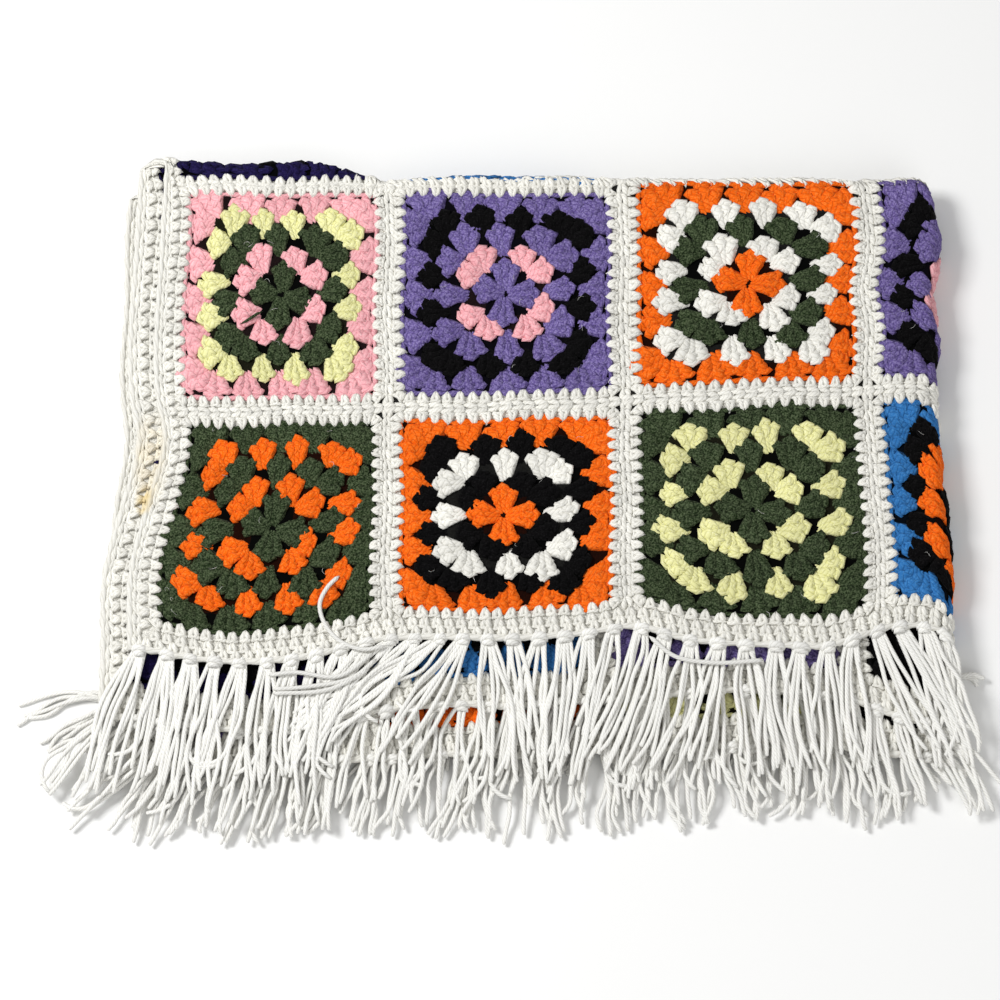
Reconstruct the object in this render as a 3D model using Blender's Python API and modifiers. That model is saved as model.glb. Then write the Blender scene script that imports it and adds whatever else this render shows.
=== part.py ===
"""Granny square blanket with two fringed ends, folded in four and lying on a surface.

Metres, +Z up. The blanket is first modelled flat: u runs across it and v from one fringed end
to the other, and w is the height over its middle, on its right side. Then it is folded: the far
half goes under at the top fold, and the right half of both layers under at the side fold. From
the top down the four layers are the near half, the far half, the far half and the near half
again. Three nodes: the crocheted cloth, and at each end a narrow strip with its fringe.
"""
import math

import bmesh
import bpy
import numpy as np

# ---- The flat blanket -------------------------------------------------------------------------
COLUMNS = 7
SQUARE_WIDTH = 0.135                            # coloured rounds of a square, across
ROW_HEIGHTS = (0.135, 0.135, 0.152, 0.152)      # the same, row by row: the far rows are looser
SEAM = 0.016                                    # two white rounds between neighbours
BORDER = 0.018                                  # three white rows round the whole blanket
THICKNESS = 0.004
WIDTH = 2 * BORDER + COLUMNS * SQUARE_WIDTH + (COLUMNS - 1) * SEAM
LENGTH = 2 * BORDER + sum(ROW_HEIGHTS) + (len(ROW_HEIGHTS) - 1) * SEAM

SEAM_GROOVE = 0.0010        # how far a seam lies below the squares, on each face
BORDER_GROOVE = 0.0003      # the same for the edge rows
CELLS_PER_SQUARE = 4

# ---- The folds --------------------------------------------------------------------------------
FOLD_RADIUS = 0.0034                            # middle of the cloth, at the top fold
SIDE_RADIUS = 0.0034                            # middle of the inner layer, at the side fold
OUTER_RADIUS = 2 * FOLD_RADIUS + SIDE_RADIUS    # middle of the outer layer, at the side fold
PILE_MIDDLE = OUTER_RADIUS + THICKNESS / 2      # height of the side fold's axis
FOLD_V = 0.306                                  # where the top fold begins
FOLD_U = 0.499                                  # where the side fold begins
TOP_FOLD_CELLS = 6
SIDE_FOLD_CELLS = 8
FAR_EDGE_DROP = 0.042       # the far end lies this much below the near end
INNER_SHIFT = 0.017         # and the inner layers this much to the left
LOWER_EASE = 0.957          # the lower half is a little bunched, across
LOWER_SLIDE = 0.026         # its fringed edges lie this much lower,
LOWER_SLANT = 0.012         # turned by this angle,
LOWER_TOP_SLIDE = 0.4       # and its top fold follows by this part of it
LOWER_EDGE = 0.4            # its edges wander by this part of what the upper ones do
LAYER_HEIGHTS = (PILE_MIDDLE - OUTER_RADIUS, PILE_MIDDLE - SIDE_RADIUS,
                 PILE_MIDDLE + SIDE_RADIUS, PILE_MIDDLE + OUTER_RADIUS)

# The top fold's line wanders along v: (distance from the left, offset).
FOLD_LINE = (
    (-0.040, 0.014), (0.010, 0.018), (0.050, 0.015), (0.125, 0.014), (0.161, 0.003),
    (0.205, 0.006), (0.290, 0.005), (0.312, 0.004), (0.350, 0.003), (0.440, 0.003),
    (0.463, 0.002), (0.515, 0.003),
)
# The row seam wanders: (distance from the left, offset).
ROW_LINE = (
    (-0.040, -0.009), (0.090, -0.008), (0.161, -0.006), (0.236, -0.005), (0.312, -0.001),
    (0.390, 0.004), (0.463, 0.006), (0.515, 0.007),
)
# The fringed edges are scalloped: (distance from the left, near end's offset, far end's).
EDGE_LINE = (
    (-0.040, -0.002, -0.004), (0.010, -0.007, -0.008), (0.040, -0.0127, -0.013),
    (0.070, -0.0154, -0.0154), (0.110, -0.0115, -0.012), (0.157, -0.0005, -0.002),
    (0.204, 0.001, 0.001), (0.2365, 0.0005, 0.001), (0.285, 0.0037, 0.003),
    (0.318, 0.0083, 0.006), (0.345, 0.001, 0.009), (0.405, -0.0044, 0.010),
    (0.425, -0.005, 0.008), (0.474, 0.0087, -0.005), (0.490, 0.0085, -0.009),
    (0.515, 0.002, -0.008),
)
ROW_SEAM_V = BORDER + ROW_HEIGHTS[0] + SEAM / 2
# The columns are not all as wide: (distance from the left, offset).
COLUMN_LINE = (
    (-0.040, -0.003), (0.060, -0.003), (0.161, -0.005), (0.312, -0.0045), (0.463, 0.003),
    (0.515, 0.000),
)
# The left edges flare at the bottom and pull in at the row seam: (y, offset).
LEFT_LINE = (
    (-0.080, -0.004), (0.000, -0.003), (0.053, -0.003), (0.100, 0.007), (0.146, 0.016),
    (0.172, 0.011), (0.265, 0.011), (0.315, 0.013),
)
LEFT_PULL = 0.011           # where the lower half's left edge lies
LEFT_REACH = 0.161          # the left edge's pull fades out over the first column
# The side fold's line wanders too: (y, offset).
RIGHT_LINE = (
    (-0.060, 0.001), (0.020, 0.001), (0.049, 0.002), (0.107, -0.002), (0.167, -0.0045),
    (0.208, -0.002), (0.236, -0.005), (0.256, 0.000), (0.310, -0.003),
)
RIGHT_REACH = (0.380, 0.500)
# Loft: the pile is fuller along its folds, and uneven.
FOLD_LOFT = 0.08
FOLD_LOFT_REACH = 0.040
WAVE_LOFT = 0.020
WAVE_LENGTHS = (0.170, 0.140)
LOFT_START = (0.000, 0.080)     # the loft begins between these distances from the near edge
# Past the near edge the layers lie lower: (distance out, height of each layer's middle, from
# the floor up).
SETTLED_ROWS = (
    (0.000, *LAYER_HEIGHTS),
    (0.045, 0.0020, 0.0076, 0.0132, 0.0178),
    (0.060, 0.0016, 0.0066, 0.0116, 0.0156),
    (0.090, 0.0016, 0.0056, 0.0096, 0.0132),
    (0.112, 0.0016, 0.0051, 0.0086, 0.0121),
    (0.135, 0.0016, 0.0016, 0.0051, 0.0086),
)
PILE_SIDES = (-0.032, 0.515)    # strands that leave the pile sideways sink from here out
SIDE_SINK = 2.2                 # and this many times as fast

# ---- The fringe -------------------------------------------------------------------------------
STRIP_WIDTH = 0.006             # the edge row that the fringe is knotted into
PART_GAP = 0.0003               # between the strip and the cloth
LOCK_SPACING = 0.0105
LEAST_ROOT = 0.007              # no lock grows from a narrower cell of the strip
LOCK_WIDTH = 0.0042
LOCK_HEIGHT = 0.0032
KNOT_WIDTH = 0.0056
TIP_WIDTH = 0.0026
RING_PLACES = (0.07, 0.38, 0.70, 1.00)          # parts of a lock's length
BEND_START = 0.35                               # part of its lean that a lock has at its root
BEND_END = 0.67                                 # place on a lock from which it leans in full
LEAN_WAVE, LEAN_STEP = 0.05, 1.9                # radians of lean, and of phase per cell
LENGTH_WAVE, LENGTH_STEP = 0.07, 2.7            # part of its length, and phase per cell
# Lean of the locks, in degrees from straight out, by the distance from the left, for the
# layers from the floor up; negative to the left.
LEAN_ROWS = (
    (-0.030, -84, -52, -50, -24),
    (0.010, -66, -42, -40, -20),
    (0.050, -38, -28, -26, -10),
    (0.110, -16, -18, -12, -4),
    (0.200, -8, -14, -6, -10),
    (0.300, -2, -6, -4, -12),
    (0.400, 6, 4, 6, 0),
    (0.460, 14, 12, 14, 8),
    (0.500, 26, 24, 24, 14),
    (0.515, 32, 28, 30, 18),
)
LOCK_LENGTHS = (0.066, 0.055, 0.076, 0.088)     # layer by layer, from the floor up
FOLD_LOCK_LENGTH = 0.034                        # the one lock on the side fold itself
FOLD_LOCK_LEAN = 66
FOLD_LOCK_CELL = 3

# ---- Colours ----------------------------------------------------------------------------------
CLOTH_COLOUR = (0.78, 0.75, 0.68, 1.0)
FRINGE_COLOUR = (0.84, 0.83, 0.80, 1.0)


def smooth(value, low=0.0, high=1.0):
    """0 below low, 1 above high, and an even ramp between."""
    t = np.clip((value - low) / (high - low), 0.0, 1.0)
    return t * t * (3.0 - 2.0 * t)


def line_value(rows, at, column=1):
    """Value at a place on the smooth line through a table's rows."""
    places = np.array([row[0] for row in rows])
    values = np.array([row[column] for row in rows], dtype=float)
    slopes = np.gradient(values, places)
    i = np.clip(np.searchsorted(places, at) - 1, 0, len(places) - 2)
    step = places[i + 1] - places[i]
    t = np.clip((at - places[i]) / step, 0.0, 1.0)
    near = values[i] * (1 + 2 * t) + slopes[i] * step * t
    far = values[i + 1] * (3 - 2 * t) - slopes[i + 1] * step * (1 - t)
    return near * (1 - t) ** 2 + far * t ** 2


def loft(x, y):
    """How many times fuller the pile is at a place."""
    top = FOLD_LOFT * np.exp(-((FOLD_V - y) / FOLD_LOFT_REACH) ** 2)
    side = FOLD_LOFT * np.exp(-((FOLD_U - x) / FOLD_LOFT_REACH) ** 2)
    wave = np.sin(2 * np.pi * x / WAVE_LENGTHS[0]) * np.sin(2 * np.pi * y / WAVE_LENGTHS[1])
    return 1.0 + (top + side + WAVE_LOFT * (1 + wave)) * smooth(y, *LOFT_START)


def settle(height, x, y):
    """Height of a layer that would lie at the given one, sunk past the pile's near edge."""
    sideways = np.maximum(PILE_SIDES[0] - x, x - PILE_SIDES[1]) * SIDE_SINK
    out = np.maximum(0.0, np.maximum(line_value(EDGE_LINE, x) - y, sideways))
    places = [row[0] for row in SETTLED_ROWS]
    levels = [np.interp(out, places, [row[k + 1] for row in SETTLED_ROWS]) for k in range(4)]
    part = np.clip(np.interp(height, LAYER_HEIGHTS, range(4)), 0.0, 3.0)
    return sum(levels[k] * np.clip(1.0 - np.abs(part - k), 0.0, 1.0) for k in range(4))


def along_pile(u):
    """Distance from the left at which a place across the flat blanket ends up."""
    past = np.maximum(u - FOLD_U - math.pi * OUTER_RADIUS, 0.0)
    return np.minimum(u, FOLD_U) - past * LOWER_EASE


def fold_line(u):
    """The v at which the top fold begins, across the flat blanket."""
    return FOLD_V + line_value(FOLD_LINE, along_pile(u))


def lay(u, v):
    """Fold the middle of the cloth.

    Gives its place, the direction of its right side, its height before it sinks past the
    near edge, and how far round the side fold it is.
    """
    start = fold_line(u)
    half_turn = math.pi * FOLD_RADIUS
    top_turn = np.clip((v - start) / half_turn, 0.0, 1.0)
    back = np.maximum(v - start - half_turn, 0.0)
    ease = (start + FAR_EDGE_DROP) / (LENGTH - start - half_turn)
    top_angle = math.pi * top_turn
    y = np.minimum(v, start) + FOLD_RADIUS * np.sin(top_angle) - back * ease
    rise = FOLD_RADIUS * (np.cos(top_angle) - 1.0)

    u = u - INNER_SHIFT * smooth(top_turn)
    side_turn = np.clip((u - FOLD_U) / (math.pi * OUTER_RADIUS), 0.0, 1.0)
    side_angle = math.pi * side_turn
    radius = OUTER_RADIUS + rise
    x = along_pile(u) + radius * np.sin(side_angle)
    height = PILE_MIDDLE + radius * np.cos(side_angle)

    lower = smooth(side_turn)
    slide = LOWER_SLIDE + LOWER_SLANT * np.maximum(FOLD_U - x, 0.0)
    y = y - lower * slide * (1.0 - (1.0 - LOWER_TOP_SLIDE) * np.clip(y / FOLD_V, 0.0, 1.0))
    from_edge = np.minimum(v, LENGTH - v)
    past_seam = smooth(from_edge, 0.0, ROW_SEAM_V)
    wander = 1.0 - (1.0 - LOWER_EDGE) * lower
    left = LEFT_PULL + wander * (line_value(LEFT_LINE, y) - LEFT_PULL)
    right = line_value(RIGHT_LINE, y) * smooth(x, *RIGHT_REACH)
    edge = np.where(v < start, line_value(EDGE_LINE, x), line_value(EDGE_LINE, x, 2))
    y = y + wander * (edge * (1.0 - past_seam)
                      + line_value(ROW_LINE, x) * past_seam
                      * (1.0 - smooth(from_edge, ROW_SEAM_V, FOLD_V)))
    x = (x + left * (1.0 - np.clip(x / LEFT_REACH, 0.0, 1.0)) + right
         + line_value(COLUMN_LINE, x))

    floor = THICKNESS / 2
    z = floor + (settle(height, x, y) - floor) * loft(x, y)
    place = np.stack([x, y, z], axis=-1)
    out = np.stack([np.cos(top_angle) * np.sin(side_angle), np.sin(top_angle),
                    np.cos(top_angle) * np.cos(side_angle)], axis=-1)
    return place, out, height, side_turn


def square_stations(start, size):
    """Places along one square, from edge to edge."""
    return [start + size * k / CELLS_PER_SQUARE for k in range(CELLS_PER_SQUARE + 1)]


def across_stations():
    """Places across the flat blanket at which the cloth has points, and the seams among them."""
    places, seams = [0.0], []
    for column in range(COLUMNS):
        start = BORDER + column * (SQUARE_WIDTH + SEAM)
        places += square_stations(start, SQUARE_WIDTH)
        if column < COLUMNS - 1:
            seams.append(start + SQUARE_WIDTH + SEAM / 2)
    fold_end = FOLD_U + math.pi * OUTER_RADIUS
    fold = [FOLD_U + (fold_end - FOLD_U) * k / SIDE_FOLD_CELLS for k in range(SIDE_FOLD_CELLS + 1)]
    kept = [place for place in places if not FOLD_U <= place <= fold_end]
    return np.array(sorted(kept + seams + fold + [WIDTH])), np.array(seams)


def along_stations(u):
    """Places along the flat blanket, for one place across it, and the row seams among them."""
    places, seams = [STRIP_WIDTH + PART_GAP], []
    start = BORDER
    for row, height in enumerate(ROW_HEIGHTS):
        stations = square_stations(start, height)
        places += stations[:-1] if row == 1 else stations[1:] if row == 2 else stations
        start += height
        if row in (0, 2):
            seams.append(start + SEAM / 2)
        start += SEAM
    bend = fold_line(u)
    step = math.pi * FOLD_RADIUS / TOP_FOLD_CELLS
    fold = [bend + step * k for k in range(-2, TOP_FOLD_CELLS + 3)]
    places += seams + fold + [LENGTH - STRIP_WIDTH - PART_GAP]
    return np.array(sorted(places)), np.array(seams)


def groove(u, v, seams_across, seams_along):
    """How far the face lies in, at a seam or in the edge rows."""
    across = np.isclose(u[:, None], seams_across[None, :]).any(axis=1)
    along = np.isclose(v[:, None], seams_along[None, :]).any(axis=1)
    edge = (np.minimum(u, WIDTH - u) < BORDER / 2) | (np.minimum(v, LENGTH - v) < BORDER / 2)
    return np.where(across | along, SEAM_GROOVE, np.where(edge, BORDER_GROOVE, 0.0))


def material(name, colour):
    """Matt yarn of one colour."""
    made = bpy.data.materials.new(name)
    made.use_nodes = True
    shader = made.node_tree.nodes["Principled BSDF"]
    shader.inputs["Base Color"].default_value = colour
    shader.inputs["Roughness"].default_value = 0.95
    shader.inputs["Metallic"].default_value = 0.0
    return made


def flat_slab(name, cells_across, cells_along):
    """A slab one cell unit high, whose points stand at whole numbers across and along."""
    bm = bmesh.new()
    bmesh.ops.create_grid(bm, x_segments=cells_across, y_segments=cells_along, size=0.5)
    for vert in bm.verts:
        vert.co.x = round((vert.co.x + 0.5) * cells_across)
        vert.co.y = round((vert.co.y + 0.5) * cells_along)
    mesh = bpy.data.meshes.new(name + "_flat")
    bm.to_mesh(mesh)
    bm.free()
    obj = bpy.data.objects.new(name, mesh)
    bpy.context.scene.collection.objects.link(obj)
    solid = obj.modifiers.new("thickness", "SOLIDIFY")
    solid.thickness = 1.0
    solid.offset = 0.0
    evaluated = obj.evaluated_get(bpy.context.evaluated_depsgraph_get())
    slab = bpy.data.meshes.new_from_object(evaluated)
    bpy.data.objects.remove(obj)
    bpy.data.meshes.remove(mesh)
    return slab


def slab_points(mesh):
    """Columns, rows and sides (-1 or 1) of a flat slab's points."""
    co = np.empty(len(mesh.vertices) * 3)
    mesh.vertices.foreach_get("co", co)
    co = co.reshape(-1, 3)
    return np.rint(co[:, 0]).astype(int), np.rint(co[:, 1]).astype(int), np.sign(co[:, 2])


def crochet_cloth():
    """The squares, seams and edge rows: one sheet, folded in four."""
    across, seams_across = across_stations()
    rows = [along_stations(u) for u in across]
    along = np.array([row[0] for row in rows])
    mesh = flat_slab("crochet_cloth", len(across) - 1, along.shape[1] - 1)
    i, j, side = slab_points(mesh)
    u, v = across[i], along[i, j]
    place, out, _, _ = lay(u, v)
    half = THICKNESS / 2 - groove(u, v, seams_across, rows[0][1])
    mesh.vertices.foreach_set("co", (place + out * (side * half)[:, None]).ravel())
    mesh.update()
    return mesh


def strip_stations():
    """Points across a strip: each cell of the cloth is cut into whole cells for the locks.

    Gives the cloth stations on both sides of each point and the part of the way between.
    """
    across, _ = across_stations()
    left, part = [], []
    for k in range(len(across) - 1):
        cells = max(1, round((across[k + 1] - across[k]) / LOCK_SPACING))
        left += [k] * cells
        part += [n / cells for n in range(cells)]
    left.append(len(across) - 2)
    part.append(1.0)
    left, part = np.array(left), np.array(part)
    return across[left], across[left + 1], part


def lock_path(root, heading, length, height, end_height):
    """Centres of a lock's rings, from its root out and down to what it lies on."""
    points = []
    x, y = root
    gone = 0.0
    for place in RING_PLACES:
        angle = heading * (BEND_START + (1 - BEND_START) * min(1.0, place / BEND_END))
        step = (place - gone) * length
        x += math.sin(angle) * step
        y -= math.cos(angle) * step
        gone = place
        level = settle(height + (end_height - height) * place, x, y)
        points.append((np.array([x, y, float(level)]), angle))
    return points


def ring(centre, angle, width, height):
    """Three corners of a lock's section, flat side down, seen from its tip: left, right, top."""
    side = np.array([-math.cos(angle), -math.sin(angle), 0.0])
    up = np.array([0.0, 0.0, 1.0])
    low = centre - up * height / 2
    return [low + side * width / 2, low - side * width / 2, centre + up * height / 2]


def grow_lock(bm, root, path):
    """Pull one lock out of a face of the strip."""
    widths = [KNOT_WIDTH, LOCK_WIDTH, LOCK_WIDTH, TIP_WIDTH]
    first = ring(*path[0], widths[0], LOCK_HEIGHT)
    corners = list(root.verts)
    middle = np.mean([np.array(v.co) for v in corners], axis=0)
    target = [first[0], first[1], first[2], first[2]]

    def twist(turn):
        pairs = zip(corners, target[turn:] + target[:turn])
        return sum(np.sum((np.array(v.co) - middle - (p - path[0][0])) ** 2) for v, p in pairs)

    turn = min(range(4), key=twist)
    points = [bm.verts.new(p) for p in first]
    order = [0, 1, 2, 2]
    order = order[turn:] + order[:turn]
    bm.faces.remove(root)
    for k in range(4):
        a, b = corners[k], corners[(k + 1) % 4]
        c, d = points[order[(k + 1) % 4]], points[order[k]]
        bm.faces.new([a, b, c] if c is d else [a, b, c, d])
    cap = bm.faces.new(points)
    for (centre, angle), width in zip(path[1:], widths[1:]):
        cap = bmesh.ops.extrude_discrete_faces(bm, faces=[cap])["faces"][0]
        for vert, corner in zip(cap.verts, ring(centre, angle, width, LOCK_HEIGHT)):
            vert.co = corner


def fringe(name, edge_v, layers):
    """One fringed end: a narrow strip of the edge row, and the locks that grow out of it.

    The layers are those on which the lower and the upper half of this end lie.
    """
    left, right, part = strip_stations()
    mesh = flat_slab(name, len(part) - 1, 1)
    i, j, side = slab_points(mesh)
    inward = STRIP_WIDTH if edge_v == 0.0 else -STRIP_WIDTH
    on_edge = (j == 0) if edge_v == 0.0 else (j == 1)
    v = np.where(on_edge, edge_v, edge_v + inward)
    half = (THICKNESS / 2 - BORDER_GROOVE) * side
    points = 0.0
    for station, share in ((left[i], 1 - part[i]), (right[i], part[i])):
        place, out, _, _ = lay(station, v)
        points = points + (place + out * half[:, None]) * share[:, None]
    mesh.vertices.foreach_set("co", points.ravel())
    mesh.update()

    bm = bmesh.new()
    bm.from_mesh(mesh)
    bm.verts.ensure_lookup_table()
    index = {vert: k for k, vert in enumerate(bm.verts)}
    u = left + (right - left) * part
    roots = []
    for face in bm.faces:
        if all(on_edge[index[vert]] for vert in face.verts):
            cell = min(i[index[vert]] for vert in face.verts)
            roots.append((cell, face))
    roots.sort(key=lambda item: item[0])
    fold_cell = int(np.searchsorted(u, FOLD_U)) + FOLD_LOCK_CELL
    for cell, face in roots:
        middle = (u[cell] + u[cell + 1]) / 2
        on_fold = cell == fold_cell and edge_v == 0.0
        if u[cell + 1] - u[cell] < LEAST_ROOT and not on_fold:
            continue
        place, _, height, turn = lay(np.array([middle]), np.array([edge_v]))
        x, y, height, turn = place[0][0], place[0][1], height[0], turn[0]
        low, high = [math.radians(line_value(LEAN_ROWS, x, k + 1)) for k in layers]
        heading = high + (low - high) * turn + LEAN_WAVE * math.sin(LEAN_STEP * cell)
        low, high = [LOCK_LENGTHS[k] for k in layers]
        length = (high + (low - high) * turn) * (1 + LENGTH_WAVE * math.sin(LENGTH_STEP * cell))
        end_height = height
        if on_fold:
            heading, length = math.radians(FOLD_LOCK_LEAN), FOLD_LOCK_LENGTH
            end_height = LAYER_HEIGHTS[0]
        grow_lock(bm, face, lock_path((x, y), heading, length, height, end_height))
    bm.to_mesh(mesh)
    bm.free()
    return mesh


def main():
    for obj in list(bpy.data.objects):
        bpy.data.objects.remove(obj)
    parts = bpy.data.collections.new("granny_square_blanket")
    bpy.context.scene.collection.children.link(parts)

    cloth_yarn = material("crochet_yarn", CLOTH_COLOUR)
    fringe_yarn = material("fringe_yarn", FRINGE_COLOUR)
    pieces = [
        ("crochet_cloth", crochet_cloth(), cloth_yarn),
        ("near_fringe", fringe("near_fringe", 0.0, (0, 3)), fringe_yarn),
        ("far_fringe", fringe("far_fringe", LENGTH, (1, 2)), fringe_yarn),
    ]

    # The origin is the middle of the pile's footprint, on the surface that it lies on.
    corners = np.array([vert.co for _, mesh, _ in pieces for vert in mesh.vertices])
    low, high = corners.min(axis=0), corners.max(axis=0)
    origin = np.array([(low[0] + high[0]) / 2, (low[1] + high[1]) / 2, low[2]])
    for name, mesh, yarn in pieces:
        for vert in mesh.vertices:
            vert.co = np.array(vert.co) - origin
        mesh.materials.clear()
        mesh.materials.append(yarn)
        mesh.update()
        parts.objects.link(bpy.data.objects.new(name, mesh))


main()
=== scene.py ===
"""Granny square blanket: crocheted squares joined and edged in white, with a knotted fringe along
both long edges, folded in four and lying on a surface.

The blanket is made flat, as a crocheter makes it: u runs across it, v from the near fringed edge
to the far one and w up on its right side. Every finished piece is then carried into the folds.
"""
import math

import bmesh
import bpy
import numpy as np
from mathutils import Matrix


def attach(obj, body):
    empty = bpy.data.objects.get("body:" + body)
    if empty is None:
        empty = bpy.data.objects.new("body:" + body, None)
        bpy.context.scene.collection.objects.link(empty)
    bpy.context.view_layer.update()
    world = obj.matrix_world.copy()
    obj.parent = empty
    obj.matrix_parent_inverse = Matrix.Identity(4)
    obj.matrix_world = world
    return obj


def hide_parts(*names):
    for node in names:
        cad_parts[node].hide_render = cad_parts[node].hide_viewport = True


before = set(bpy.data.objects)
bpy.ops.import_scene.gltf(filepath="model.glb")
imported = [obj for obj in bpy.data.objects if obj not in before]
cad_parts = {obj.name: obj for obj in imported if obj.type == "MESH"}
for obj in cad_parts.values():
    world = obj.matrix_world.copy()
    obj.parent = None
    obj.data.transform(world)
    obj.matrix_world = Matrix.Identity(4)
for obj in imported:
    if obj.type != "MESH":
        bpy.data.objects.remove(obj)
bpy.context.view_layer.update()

# ---- The cloth and its folds ----
# One crocheted cloth, seven squares wide and four long, 4 mm thick. It is folded twice: the far
# half goes under at the top, then the right half of both layers goes under at the right.
COLUMNS = 7
SQUARE_WIDTH = 0.135
ROW_HEIGHTS = (0.135, 0.135, 0.152, 0.152)
SEAM = 0.016
BORDER = 0.018
THICKNESS = 0.004
WIDTH = 2 * BORDER + COLUMNS * SQUARE_WIDTH + (COLUMNS - 1) * SEAM
LENGTH = 2 * BORDER + sum(ROW_HEIGHTS) + (len(ROW_HEIGHTS) - 1) * SEAM
SQUARES = [(column, row) for row in range(len(ROW_HEIGHTS)) for column in range(COLUMNS)]
ORIGIN = (0.22914, 0.09699)         # of the part, from the left end of the near fringed edge

FOLD_RADIUS = 0.0034
SIDE_RADIUS = 0.0034
OUTER_RADIUS = 2 * FOLD_RADIUS + SIDE_RADIUS
PILE_MIDDLE = OUTER_RADIUS + THICKNESS / 2
FOLD_V = 0.306
FOLD_U = 0.499
FAR_EDGE_DROP = 0.042               # the far edge lies this much lower than the near one
INNER_SHIFT = 0.017                 # past the top fold the cloth lies this far to the left
LOWER_EASE = 0.957                  # past the side fold it is bunched up to this part
LOWER_SLIDE = 0.026                 # and has slid down, more so towards the left by the slant
LOWER_SLANT = 0.012
LOWER_TOP_SLIDE = 0.4               # parts of the slide that the top fold takes
LOWER_EDGE = 0.4                    # and of the upper edges' wander that the lower ones show
LAYER_HEIGHTS = (PILE_MIDDLE - OUTER_RADIUS, PILE_MIDDLE - SIDE_RADIUS,
                 PILE_MIDDLE + SIDE_RADIUS, PILE_MIDDLE + OUTER_RADIUS)
# The folds and edges wander: (distance from the left, offset), and for the fringed edges the
# near end's offset and the far end's.
FOLD_LINE = (
    (-0.040, 0.014), (0.010, 0.018), (0.050, 0.015), (0.125, 0.014), (0.161, 0.003),
    (0.205, 0.006), (0.290, 0.005), (0.312, 0.004), (0.350, 0.003), (0.440, 0.003),
    (0.463, 0.002), (0.515, 0.003),
)
ROW_LINE = (
    (-0.040, -0.009), (0.090, -0.008), (0.161, -0.006), (0.236, -0.005), (0.312, -0.001),
    (0.390, 0.004), (0.463, 0.006), (0.515, 0.007),
)
EDGE_LINE = (
    (-0.040, -0.002, -0.004), (0.010, -0.007, -0.008), (0.040, -0.0127, -0.013),
    (0.070, -0.0154, -0.0154), (0.110, -0.0115, -0.012), (0.157, -0.0005, -0.002),
    (0.204, 0.001, 0.001), (0.2365, 0.0005, 0.001), (0.285, 0.0037, 0.003),
    (0.318, 0.0083, 0.006), (0.345, 0.001, 0.009), (0.405, -0.0044, 0.010),
    (0.425, -0.005, 0.008), (0.474, 0.0087, -0.005), (0.490, 0.0085, -0.009),
    (0.515, 0.002, -0.008),
)
COLUMN_LINE = (
    (-0.040, -0.003), (0.060, -0.003), (0.161, -0.005), (0.312, -0.0045), (0.463, 0.003),
    (0.515, 0.000),
)
# The left edges and the side fold: (y, offset).
LEFT_LINE = (
    (-0.080, -0.004), (0.000, -0.003), (0.053, -0.003), (0.100, 0.007), (0.146, 0.016),
    (0.172, 0.011), (0.265, 0.011), (0.315, 0.013),
)
RIGHT_LINE = (
    (-0.060, 0.001), (0.020, 0.001), (0.049, 0.002), (0.107, -0.002), (0.167, -0.0045),
    (0.208, -0.002), (0.236, -0.005), (0.256, 0.000), (0.310, -0.003),
)
ROW_SEAM_V = BORDER + ROW_HEIGHTS[0] + SEAM / 2
LEFT_PULL = 0.011
LEFT_REACH = 0.161
RIGHT_REACH = (0.380, 0.500)
FOLD_LOFT = 0.08
FOLD_LOFT_REACH = 0.040
WAVE_LOFT = 0.020
WAVE_LENGTHS = (0.170, 0.140)
LOFT_START = (0.000, 0.080)
# Past the near edge the layers lie lower: (distance out, middles of the layers, floor up).
SETTLED_ROWS = (
    (0.000, *LAYER_HEIGHTS),
    (0.045, 0.0020, 0.0076, 0.0132, 0.0178),
    (0.060, 0.0016, 0.0066, 0.0116, 0.0156),
    (0.090, 0.0016, 0.0056, 0.0096, 0.0132),
    (0.112, 0.0016, 0.0051, 0.0086, 0.0121),
    (0.135, 0.0016, 0.0016, 0.0051, 0.0086),
)
PILE_SIDES = (-0.032, 0.515)
SIDE_SINK = 2.2


def smooth(value, low=0.0, high=1.0):
    """0 below low, 1 above high, and an even ramp between."""
    t = np.clip((value - low) / (high - low), 0.0, 1.0)
    return t * t * (3.0 - 2.0 * t)


def line_value(rows, at, column=1):
    """Value at a place on the smooth line through a table's rows."""
    places = np.array([row[0] for row in rows])
    values = np.array([row[column] for row in rows], dtype=float)
    slopes = np.gradient(values, places)
    i = np.clip(np.searchsorted(places, at) - 1, 0, len(places) - 2)
    step = places[i + 1] - places[i]
    t = np.clip((at - places[i]) / step, 0.0, 1.0)
    near = values[i] * (1 + 2 * t) + slopes[i] * step * t
    far = values[i + 1] * (3 - 2 * t) - slopes[i + 1] * step * (1 - t)
    return near * (1 - t) ** 2 + far * t ** 2


def ripple(distance, length, phase=0.0):
    """A wave of this length, between -1 and 1."""
    return np.sin(2 * np.pi * distance / length + phase)


def loft(x, y):
    """How many times fuller the pile is at a place."""
    top = FOLD_LOFT * np.exp(-((FOLD_V - y) / FOLD_LOFT_REACH) ** 2)
    side = FOLD_LOFT * np.exp(-((FOLD_U - x) / FOLD_LOFT_REACH) ** 2)
    wave = ripple(x, WAVE_LENGTHS[0]) * ripple(y, WAVE_LENGTHS[1])
    return 1.0 + (top + side + WAVE_LOFT * (1 + wave)) * smooth(y, *LOFT_START)


def settle(height, x, y):
    """Height of a layer that would lie at the given one, sunk past the pile's near edge."""
    sideways = np.maximum(PILE_SIDES[0] - x, x - PILE_SIDES[1]) * SIDE_SINK
    out = np.maximum(0.0, np.maximum(line_value(EDGE_LINE, x) - y, sideways))
    places = [row[0] for row in SETTLED_ROWS]
    levels = [np.interp(out, places, [row[k + 1] for row in SETTLED_ROWS]) for k in range(4)]
    part = np.clip(np.interp(height, LAYER_HEIGHTS, range(4)), 0.0, 3.0)
    return sum(levels[k] * np.clip(1.0 - np.abs(part - k), 0.0, 1.0) for k in range(4))


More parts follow.
